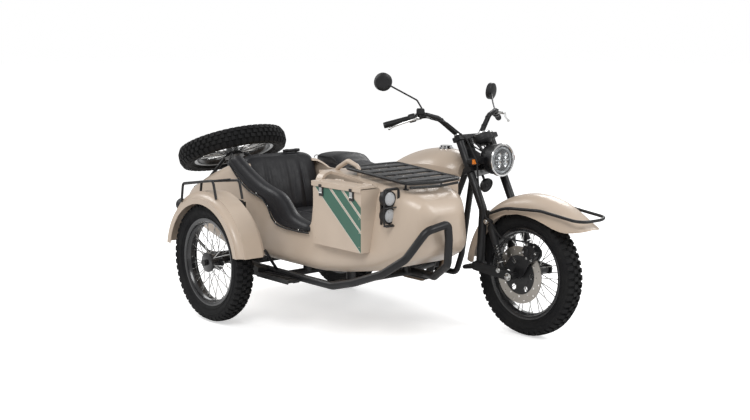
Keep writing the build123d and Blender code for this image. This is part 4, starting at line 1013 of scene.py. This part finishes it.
def add_lamps():
    """Glasses of the fog lamps, turn lamps, tail lamps and the bare plate."""
    fog = Shape()
    rim = [(35, -1), (37.4, 0), (37.4, 3), (34, 4.4), (33, 2)]
    lens = [(33, 1.2), (30, 3.2), (18, 5), (0.1, 5.6)]
    for x, y, z in FOG_LAMPS:
        fog.lathe(rim, (x, y, z), AHEAD, BLACK, steps=40, caps=False)
        fog.lathe(lens, (x, y, z), AHEAD, LAMP_WHITE, steps=36, caps=False)
        for across in (-12, 12):
            fog.rod((x + 4, y + across, z - 24), (x + 4, y + across, z + 24), 1.2, CHROME, sides=6)
    fog.finish("fog_lamp_glasses", "chassis", "clear_lens")
    turn = Shape()
    for side in (1, -1):
        low, high = sorted((side * 131, side * 161))
        turn.prism([(low, 887), (high, 887), (high, 913), (low, 913)], (1285.6, 0, 0), (1.6, 0, 0), AMBER,
                   right=LEFT)
        for step in range(4):
            z = 891 + 6 * step
            turn.block((1287.2, low + 2, z), (1288.4, high - 2, z + 2.4), AMBER)
    turn.finish("turn_lamp_glasses", "steering", "clear_lens", bevel=1.0)
    tail = Shape()
    tail.block((-239, -56, 746), (-235.6, 56, 778), RED)
    for step in range(11):
        y = -52 + 10 * step
        tail.block((-240.2, y, 749), (-238.6, y + 5, 775), RED)
    rim = [(34, 0.6), (35.4, 0), (35.4, -3), (31, -3.6)]
    lens = [(31, -1), (28, -3), (16, -4.6), (0.1, -5)]
    tail.lathe(rim, SIDECAR_TAIL_LAMP, AHEAD, BLACK, steps=40, caps=False)
    tail.lathe(lens, SIDECAR_TAIL_LAMP, AHEAD, RED, steps=36, caps=False)
    tail.finish("tail_lamp_glasses", "chassis", "clear_lens", bevel=0.8)
    plate = Shape()
    outline = [(-85, 572), (85, 572), (85, 722), (-85, 722)]
    slope = 19 / 174
    path = flat_path(outline, 10)
    rows = [[Vector((-250.8 + (z - 560) * slope - reach, y, z)) for y, z in path] for reach in (0, 1.4)]
    plate.grid(rows, PALE, wrap=True)
    plate.cap(rows[1], PALE)
    plate.finish("blank_plate", "chassis", "bright_metal")


MIRRORS = (
    # side, centre
    (-1, (886, -430, 1311)),
    (1, (850, 430, 1235)),
)


def add_mirror_glass():
    """Silvered face and rim bead of each mirror."""
    glass = Shape()
    bead = [(48.3, 6), (48.8, 9), (47, 12.4), (44.4, 12.2)]
    back = [(48, -11), (42, -15), (24, -18), (0.1, -19)]
    for side, centre in MIRRORS:
        facing = Vector((-0.93, -side * 0.3, 0.1)).normalized()
        glass.lathe([(44, 11.2), (44, 11.9), (0.1, 12.1)], centre, facing, CHROME, steps=48, caps=False)
        glass.lathe(bead, centre, facing, BLACK, steps=48, caps=False)
        glass.lathe(back, centre, facing, BLACK, steps=48, caps=False)
    glass.finish("mirror_glasses", "steering", "bright_metal")


def bar_bend(side):
    """Where the straight part of the bar, with the grip, begins to bend down."""
    return Vector((1040, side * 262, 1140))


def grip_point(side, reach):
    """A point on the bar, that far inward from its end."""
    end, inner = Vector((911, side * 430, 1085)), bar_bend(side)
    return end + (inner - end).normalized() * reach


def add_bar_details():
    """Ribs and end weights of the grips, switch cases, reservoirs and the dial."""
    ribs = Shape()
    for side in (1, -1):
        along = (grip_point(side, 100) - grip_point(side, 0)).normalized()
        for step in range(13):
            place = grip_point(side, 8 + step * 8.6)
            ribs.lathe(drum(17.4, 1.6, 1.1, 0.8), place, along, RUBBER, steps=24, caps=False)
        end = grip_point(side, 0)
        ribs.lathe([(13, -14), (16.4, -11), (16.4, -5), (13, -4)], end, along, BLACK, steps=28)
        ribs.lathe([(22.5, 128), (23.4, 131), (23.4, 154), (22.5, 157)], end, along, PLASTIC, steps=32)
        spot = grip_point(side, 140) + Vector((-16, 0, 8))
        ribs.ball(spot, 6, RED if side < 0 else PLASTIC, stretch=(1, 1, 0.7), steps=12)
    ribs.finish("grip_ribs", "steering", "rubber_black")

    pots = Shape()
    spot = grip_point(-1, 178) + Vector((10, 4, 26))
    pots.lathe([(21, -14), (22, -12), (22, 10), (20, 12)], spot, UP, PLASTIC, steps=32)
    pots.lathe([(20, 12), (20, 15), (17, 16.5), (0.1, 17)], spot, UP, BLACK, steps=32)
    for x, y in ((-10, -10), (10, 10)):
        pots.ball(spot + Vector((x, y, 16.6)), 2.2, SILVER, steps=8)
    pots.finish("brake_reservoir", "steering", "black_plastic")

    dial = Shape()
    rim = [(50.2, 14), (51.6, 18), (51, 22), (47, 23.4), (44.6, 21.4)]
    dial.lathe(rim, DIAL, DIAL_FACING, CHROME, steps=56, caps=False)
    dial.lathe([(44.8, 20.4), (44.8, 20.8), (0.1, 20.9)], DIAL, DIAL_FACING, PLASTIC, steps=48, caps=False)
    across, up, _ = frame_for(DIAL_FACING)
    face = DIAL + DIAL_FACING * 21
    for step in range(25):
        angle = math.radians(-120 + 10 * step)
        way = up * math.cos(angle) + across * math.sin(angle)
        near = 34 if step % 4 == 0 else 38
        dial.rod(face + way * near, face + way * 42, 0.7, PALE, sides=5)
    way = (up * math.cos(-0.9) + across * math.sin(-0.9)).normalized()
    pin = DIAL + DIAL_FACING * 21.6
    dial.rod(pin - way * 8, pin + way * 33, 1.1, RED, sides=6)
    dial.ball(pin, 4, PLASTIC, steps=10)
    dial.finish("dial_face", "steering", "black_plastic")


def nut(shape, place, axis, radius, high, material=SILVER):
    """Hexagon nut with its washer."""
    washer = [(radius * 1.35, 0), (radius * 1.35, 1.6), (radius, 1.6)]
    shape.lathe(washer, place, axis, material, steps=24, caps=False)
    shape.lathe([(radius, 1.6), (radius, high - 1), (radius * 0.86, high)], place, axis, material, steps=6)


FORK_NUTS = (
    # x, distance from the middle, z, radius, height
    (WHEELBASE, 161, TYRE_R, 15, 12),
    (1312, 142, 350, 12, 9),
    (1478, 155, 352, 10, 8),
    (1362, 132, 590, 10, 8),
)


def add_fasteners():
    """Nuts and bolts on the fork, its link, the axles and the frames."""
    fork = Shape()
    for side in (1, -1):
        for x, y, z, radius, high in FORK_NUTS:
            nut(fork, (x, side * y, z), (0, side, 0), radius, high)
    nut(fork, STEER_POINT + STEER_DIR * 58, STEER_DIR, 17, 12, CHROME)
    for side in (1, -1):
        top = STEER_POINT + STEER_DIR * 68 + STEER_AHEAD * 63 + Vector((0, side * FORK_Y, 0))
        fork.lathe([(22.4, -4), (22.4, 1), (19, 4), (0.1, 5)], top, STEER_DIR, SILVER, steps=32, caps=False)
    fork.finish("fork_fasteners", "steering", "bright_metal")

    chassis = Shape()
    for side in (1, -1):
        nut(chassis, (0, side * 124, TYRE_R), (0, side, 0), 14, 12)
    for x, y, z in ((262, -979, 352), (290, -977, 640)):
        nut(chassis, (x, y, z), (0, -1, 0), 9, 8)
    chassis.finish("frame_fasteners", "chassis", "bright_metal")


def add_header_clamps():
    """Clamps of the two headers."""
    clamps = Shape()
    for side in (1, -1):
        clamps.lathe(drum(22, 9, 1.4, 2), (885, side * 46, 470), UP, SILVER, steps=32)
        clamps.rod((898, side * 46 - 16, 470), (912, side * 46 + 10, 470), 3, SILVER)
    clamps.finish("header_clamps", "chassis", "bright_metal")


RACK_SLATS = (996, 1088, 1180, 1272, 1364)


def rack_point(x, across, rise=0):
    """A point on the sloping rack."""
    return Vector((x, TUB_Y + across, 884 - (x - 950) / 475 * 38 + rise))


def add_nose_rack():
    """Luggage rack with its wide slats, frame tube, posts and feet."""
    rack = Shape()
    outline = [rack_point(950, -178), rack_point(1425, -178), rack_point(1465, 0, 4),
               rack_point(1425, 178), rack_point(950, 178)]
    rack.tube(outline, 8.5, BLACK, bend=40, closed=True, sides=16, steps=8)
    for x in RACK_SLATS:
        rows = []
        for along, rise in ((-29, -5), (-29, -1), (-25, 3), (25, 3), (29, -1), (29, -5)):
            rows.append([rack_point(x + along, across, rise) for across in (-172, -90, 0, 90, 172)])
        rack.grid([list(row) for row in zip(*rows)], BLACK, wrap=True)
        for across in (-62, 62):
            rack.ball(rack_point(x, across, 3.4), 4, SILVER, stretch=(1, 1, 0.5), steps=8)
    for across in (-62, 62):
        rack.tube([rack_point(950, across, -4), rack_point(1433, across, -4)], 5.5, BLACK)
    front = [rack_point(1425, -160, -20), rack_point(1462, 0, -18), rack_point(1425, 160, -20)]
    rack.tube(front, 7, BLACK, bend=60, sides=12)
    for x, across in ((1000, -130), (1000, 130), (1350, -120), (1350, 120)):
        rack.rod(rack_point(x, across), (x, TUB_Y + across, 786), 6, BLACK)
        low = 846 if x < 1100 else 806
        rack.lathe([(15, -4), (15, 3), (7, 5)], (x, TUB_Y + across, low), UP, BLACK, steps=24)
    rack.finish("slatted_rack", "chassis", "black_frame", ["nose_rack"])


def add_lid_details():
    """Edge bead and catches of the luggage lid."""
    trim = Shape()
    trim.matrix = DECK
    path = [Vector((x, y, 12)) for x, y in deck_outline(0)]
    trim.tube(path, 5.6, RUBBER, closed=True, sides=10)
    trim.finish("luggage_lid_seal", "luggage_lid", "rubber_black")
    catch = Shape()
    catch.matrix = DECK
    for side in (-1, 1):
        catch.block((306, side * 90 - 14, 15), (330, side * 90 + 14, 24), BLACK)
        catch.rod((318, side * 90 - 10, 24), (318, side * 90 + 10, 24), 3, SILVER)
    catch.finish("luggage_lid_catches", "luggage_lid", "black_plastic", bevel=1)


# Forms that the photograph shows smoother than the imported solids

FENDER_CENTRE = Vector((WHEELBASE + 56, 0, 288))
FENDER_R = 467
FENDER_ROWS = (
    # angle, radius of the skirt's edge, half width, rise of the crown over FENDER_R
    (172, 383, 88, 0),
    (160, 388, 90, 0),
    (145, 391, 90, 0),
    (130, 390, 90, 0),
    (115, 382, 90, 0),
    (100, 368, 90, 0),
    (90, 359, 90, 0),
    (80, 354, 90, 0),
    (70, 353, 90, 0),
    (62, 358, 90, 0),
    (55, 374, 90, 0),
    (50, 396, 89, 2),
    (46.5, 424, 84, 6),
    (44, 450, 74, 12),
    (42.4, 472, 56, 18),
    (41.8, 486, 30, 21),
)
FENDER_STEPS = 24
RAIL_Y = 112


def fender_row(angle, edge, half, rise):
    """Points across the front mudguard, from one skirt's edge to the other."""
    row = []
    out = Vector((math.cos(math.radians(angle)), 0, math.sin(math.radians(angle))))
    for step in range(FENDER_STEPS + 1):
        turn = math.pi * (step / FENDER_STEPS - 0.5)
        across = half * math.copysign(abs(math.sin(turn)) ** 0.74, turn)
        radius = edge + (FENDER_R + rise - edge) * max(math.cos(turn), 0) ** 0.74
        row.append(FENDER_CENTRE + out * radius + Vector((0, across, 0)))
    return row


def add_front_fender():
    """Crowned mudguard with rolled edges, its stays and the smooth tube round it."""
    guard = Shape()
    rows = [fender_row(*row) for row in FENDER_ROWS]
    guard.grid(rows, BEIGE)
    guard.finish("crowned_fender", "steering", "beige_paint", ["front_fender"], subdivide=2, thickness=2.4)
    edge = Shape()
    border = [row[0] for row in rows] + rows[-1][4:-4:4] + [row[-1] for row in reversed(rows)]
    edge.tube(border, 3.1, BEIGE, bend=60, sides=10)
    for side in (1, -1):
        edge.block((1316, side * 84, 596), (1344, side * 104, 644), BLACK)
        edge.rod((1330, side * 84, 612), (1352, side * 88, 560), 5, BLACK)
    edge.finish("fender_edge", "steering", "beige_paint")
    rail = Shape()
    half = [(x, RAIL_Y, z) for x, z in ((1360, 630), (1480, 674), (1716, 686), (1945, 660))]
    half.append((1972, 60, 655))
    path = [Vector(point) for point in half] + [Vector((x, -y, z)) for x, y, z in reversed(half)]
    smooth = rounded_path(path, 260, steps=16)
    rail.tube(smooth, 8, BLACK, sides=16)
    for x, z in ((1480, 672), (1716, 684)):
        for side in (1, -1):
            rail.rod((x, side * 82, z - 6), (x, side * RAIL_Y, z), 5, BLACK)
            rail.lathe([(9, 0), (9, 3), (4, 4)], (x, side * 86, z - 5), (0, side, 0), SILVER, steps=16)
    rail.finish("fender_rail_tube", "steering", "black_frame", ["fender_bar"])


BOLSTER_ROWS = (
    # lower border on the tub's outer side and upper border on its edge, as x and z pairs
    (44, 852, 92, 884),
    (84, 826, 124, 864),
    (138, 782, 176, 832),
    (204, 738, 250, 794),
    (272, 707, 326, 758),
    (340, 694, 400, 734),
    (404, 676, 478, 718),
    (448, 638, 540, 700),
    (480, 592, 590, 650),
    (526, 556, 636, 606),
    (620, 545, 694, 586),
    (730, 543, 764, 576),
    (812, 545, 816, 570),
)


def hull_half(x, z):
    """Half width of the tub at a place."""
    low, top, wide, narrow = (smooth_value(HULL, column, x) for column in range(1, 5))
    share = min(max((z - low) / (top - low), 0), 1)
    return wide + (narrow - wide) * share


def add_cockpit_bolster():
    """Thick upholstered edge of the cockpit, turned over the tub's outer side."""
    pad = Shape()
    rows = []
    for x0, z0, x1, z1 in BOLSTER_ROWS:
        outer = TUB_Y - hull_half(x0, z0)
        upper = TUB_Y - hull_half(x1, z1)
        middle_x, middle_z = (x0 + x1) / 2, (z0 + z1) / 2
        rows.append([
            Vector((x0, outer - 1, z0 - 4)),
            Vector((x0 + 2, outer - 17, z0)),
            Vector((x0 + 0.2 * (x1 - x0), outer - 21, z0 + 0.2 * (z1 - z0))),
            Vector((middle_x, (outer + upper) / 2 - 16, middle_z)),
            Vector((x1 - 4, upper - 13, z1)),
            Vector((x1 + 4, upper + 6, z1 + 14)),
            Vector((x1 + 4, TUB_Y - 246, z1 + 12)),
            Vector((x1 - 2, TUB_Y - 226, z1 - 8)),
            Vector((x1 - 8, TUB_Y - 232, z1 - 46)),
            Vector((x1 - 10, TUB_Y - 250, z1 - 46)),
            Vector((middle_x + 4, (outer + upper) / 2 + 6, middle_z - 6)),
            Vector((x0 + 6, outer + 4, z0 - 2)),
        ])
    pad.grid(rows, VINYL, wrap=True)
    pad.cap(rows[0], VINYL)
    pad.cap(rows[-1][::-1], VINYL)
    piece = pad.finish("cockpit_bolster", "chassis", "black_vinyl", ["cockpit_trim"], subdivide=2)
    beading = Shape()
    line = [row[1] + Vector((0, -1, -4)) for row in rows]
    beading.tube(rounded_path(line, 90, steps=10), 4.6, VINYL, sides=10)
    seam = [row[3] + Vector((0, -1.5, 0)) for row in rows]
    beading.tube(rounded_path(seam, 90, steps=10), 1.8, RUBBER, sides=8)
    for row in rows[3::2]:
        beading.ball(row[1] + Vector((0, -4, 6)), 4.4, SILVER, stretch=(1, 0.5, 1), steps=10)
    beading.finish("bolster_beading", "chassis", "black_vinyl")


CALIPER_ANGLE = 56
CALIPER_FACE = -103


def add_brake_caliper():
    """Two-piece caliper over the disc, with its bolts, pads and bracket."""
    angle = math.radians(CALIPER_ANGLE)
    out = Vector((math.cos(angle), 0, math.sin(angle)))
    along = Vector((-math.sin(angle), 0, math.cos(angle)))
    face = Vector((0, CALIPER_FACE, 0))
    shape = Shape()
    outline = [(131, -44), (168, -46), (190, -30), (195, 0), (190, 30), (168, 46), (131, 44), (122, 22),
               (122, -22)]
    path = flat_path(outline, 9)
    centre = Vector(FRONT_AXLE)
    for low, high in ((CALIPER_FACE, -80), (-66, -49)):
        shape.prism(path, centre + Vector((0, low, 0)), (0, high - low, 0), BLACK, out, along)
    bridge = [(162, -40), (186, -32), (192, 0), (186, 32), (162, 40)]
    shape.prism(bridge, centre + Vector((0, -82, 0)), (0, 18, 0), BLACK, out, along)
    for shift in (-20, 20):
        place = centre + out * 152 + along * shift + face
        shape.lathe([(15, 0), (15, 3), (12, 5), (5, 5.4)], place, (0, -1, 0), BLACK, steps=28)
    for reach, shift in ((182, -34), (182, 34), (134, -34), (134, 34)):
        nut(shape, centre + out * reach + along * shift + face, (0, -1, 0), 5, 6)
    for shift in (-26, 26):
        low = centre + out * 166 + along * shift
        shape.rod(low + Vector((0, -80, 0)), low + Vector((0, -66, 0)), 3, SILVER)
    bracket = [(-26, -20), (26, -20), (118, 120), (80, 150), (-20, 26)]
    shape.prism(flat_path(bracket, 16, 6), centre + Vector((0, -99, 0)), (0, 9, 0), BLACK)
    for a, b in ((96, 122), (70, 100)):
        nut(shape, centre + Vector((a, -99, b)), (0, -1, 0), 6, 7)
    hose_end = centre + out * 196 + Vector((0, -92, 0))
    shape.rod(hose_end - out * 6, hose_end + out * 8, 6, SILVER)
    shape.finish("shaped_caliper", "steering", "black_frame", ["brake_caliper"], bevel=1.6)


def add_levers():
    """Perches with curved silver levers that end in a ball."""
    shape = Shape()
    for side in (1, -1):
        along = (grip_point(side, 100) - grip_point(side, 0)).normalized()
        ahead = Vector((0.66, side * 0.52, -0.1)).normalized()
        perch = grip_point(side, 177)
        shape.lathe(drum(19, 14, 2, 2), perch, along, BLACK, steps=28)
        pivot = perch + ahead * 46 - along * 8
        shape.tube([perch + ahead * 8, pivot], lambda share: 11 - 3 * share, SILVER, sides=14)
        shape.lathe(drum(11, 6, 1, 2), pivot, UP, SILVER, steps=20)
        line = [pivot] + [
            grip_point(side, inward) + ahead * forward + Vector((0, 0, -drop))
            for inward, forward, drop in ((128, 52, 0), (66, 47, 5), (14, 60, 12))
        ]
        shape.tube(rounded_path(line, 120, steps=12), lambda share: 6 - 1.4 * share, SILVER, sides=12)
        shape.ball(line[-1], 8, SILVER, steps=14)
    shape.finish("curved_levers", "steering", "bright_metal", ["hand_levers"])


def add_bar_wiring():
    """Sheathed wires strapped along the bar, the dial's cup, the horn and the fork's covers."""
    wires = Shape()
    for side in (1, -1):
        for drop, back in ((15, 3), (6, -15)):
            line = [grip_point(side, 158), bar_bend(side), Vector((1062, side * 192, 1120)),
                    Vector((1112, side * 70, 1012))]
            line = [point + Vector((-back, 0, -drop)) for point in line]
            line += [Vector((1168, side * 52, 962 - back)), Vector((1226, side * 34, 930 - back))]
            wires.tube(rounded_path(line, 70, steps=8), 3.6, RUBBER, sides=8)
        for share in (0.12, 0.5, 0.88):
            spot = Vector((1062, side * 192, 1120)).lerp(Vector((1112, side * 62, 1006)), share)
            wires.lathe(drum(13.2, 5, 0.6, 1), spot, (0.3, -side * 0.75, -0.65), RUBBER, steps=20)
    wires.finish("strapped_wires", "steering", "rubber_black")
    head = Shape()
    cup = [(50.4, 10), (52, 4), (51, -14), (40, -32), (20, -40), (0.1, -41)]
    head.lathe(cup, DIAL, DIAL_FACING, PLASTIC, steps=48, caps=False)
    for side in (1, -1):
        cover = [(1158, 938), (1214, 966), (1268, 934), (1276, 880), (1214, 858)]
        head.prism(flat_path(cover, 14), (0, side * 90 - 6, 0), (0, 12, 0), BLACK)
        nut(head, (1236, side * 96, 904), (0, side, 0), 8, 7)
        stay = [(1180, side * 40, 1000), (1216, side * 34, 968), (1240, side * 30, 940)]
        head.tube(stay, 8, BLACK, bend=20)
    horn = Vector((1236, 0, 760))
    bell = [(12, -22), (30, -18), (38, -8), (40, 0), (40, 8), (36, 11), (34, 8), (14, 9), (12, 13), (0.1, 13)]
    head.lathe(bell, horn, (0.94, 0, -0.34), BLACK, steps=40, caps=False)
    head.rod(horn, (1206, 0, 812), 7, BLACK)
    head.finish("head_fittings", "steering", "black_plastic")


def add_fog_guard():
    """Rounded frame in front of the fog lamps, and the lamps' smooth cans."""
    guard = Shape()
    loop = [Vector((1376, y, z)) for y, z in ((-752, 640), (-752, 824), (-848, 824), (-848, 640))]
    guard.tube(rounded_path(loop, 22, closed=True, steps=6), 4.2, BLACK, closed=True, sides=10)
    guard.rod((1376, -848, 731), (1376, -752, 731), 3.4, BLACK)
    can = [(38.4, -34), (39.2, -30), (39.2, 2), (37.6, 3.4)]
    back = [(38.4, -34), (26, -46), (10, -50), (0.1, -50)]
    for place in FOG_LAMPS:
        guard.lathe(can, place, AHEAD, PLASTIC, steps=40, caps=False)
        guard.lathe(back, place, AHEAD, PLASTIC, steps=40, caps=False)
    guard.finish("fog_lamp_guard", "chassis", "black_frame")


# Floor, backdrop and light


def split_for_camera(tree, plain, seen, output):
    """Show one shader to the camera while the other gives the light."""
    camera_ray = tree.nodes.new("ShaderNodeLightPath").outputs["Is Camera Ray"]
    chosen = new_node(tree, "ShaderNodeMixShader", {"Fac": camera_ray, 1: plain, 2: seen})
    tree.links.new(chosen.outputs["Shader"], tree.nodes[output].inputs["Surface"])


SURROUND = 0.55
FLOOR_RADIUS = 60
SOFTBOXES = (
    # place in metres, width, power
    ((3.2, -3.6, 4.6), 3.0, 170),
    ((4.4, 2.6, 3.4), 2.4, 90),
    ((-3.6, -2.2, 3.8), 2.6, 90),
    ((-1.5, 4.0, 3.6), 2.4, 70),
)


def make_stage():
    """Pale floor with a soft shadow, white surroundings and soft lamps."""
    material = bpy.data.materials.new("pale_floor")
    tree, shader = nodes_of(material)
    set_inputs(tree, shader, {"Roughness": 0.9, "Base Color": (0.86, 0.86, 0.86, 1)})
    plain = shader.outputs["BSDF"]
    glow = new_node(tree, "ShaderNodeEmission", {"Color": WHITE, "Strength": SURROUND})
    added = new_node(tree, "ShaderNodeAddShader", {0: plain, 1: glow.outputs["Emission"]})
    split_for_camera(tree, plain, added.outputs["Shader"], "Material Output")
    mesh = bpy.data.meshes.new("floor")
    work = bmesh.new()
    bmesh.ops.create_circle(work, cap_ends=True, segments=96, radius=FLOOR_RADIUS)
    work.to_mesh(mesh)
    work.free()
    mesh.materials.append(material)
    floor = add_object("floor", mesh)
    floor.location = (0, 0, -0.0005)

    world = bpy.data.worlds.new("studio")
    bpy.context.scene.world = world
    world.use_nodes = True
    tree = world.node_tree
    plain = set_inputs(tree, tree.nodes["Background"], {"Color": WHITE, "Strength": SURROUND})
    seen = new_node(tree, "ShaderNodeBackground", {"Color": WHITE, "Strength": 1.0})
    split_for_camera(tree, plain.outputs["Background"], seen.outputs["Background"], "World Output")

    for index, (place, width, power) in enumerate(SOFTBOXES):
        data = bpy.data.lights.new(f"softbox_{index}", "AREA")
        data.shape = "DISK"
        data.size = width
        data.energy = power
        lamp = add_object(f"softbox_{index}", data)
        lamp.location = place
        lamp.rotation_euler = (Vector((0, 0, 0.5)) - Vector(place)).to_track_quat("-Z", "Y").to_euler()
    bpy.context.scene.view_settings.view_transform = "Standard"


def main():
    """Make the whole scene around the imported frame."""
    make_camera()
    make_stage()
    finish_frame()
    add_wheels()
    add_tub()
    add_boxes()
    add_saddle()
    add_cockpit_seat()
    add_struts()
    add_headlight()
    add_lamps()
    add_mirror_glass()
    add_bar_details()
    add_fasteners()
    add_header_clamps()
    add_nose_rack()
    add_lid_details()
    add_front_fender()
    add_cockpit_bolster()
    add_brake_caliper()
    add_levers()
    add_bar_wiring()
    add_fog_guard()


main()
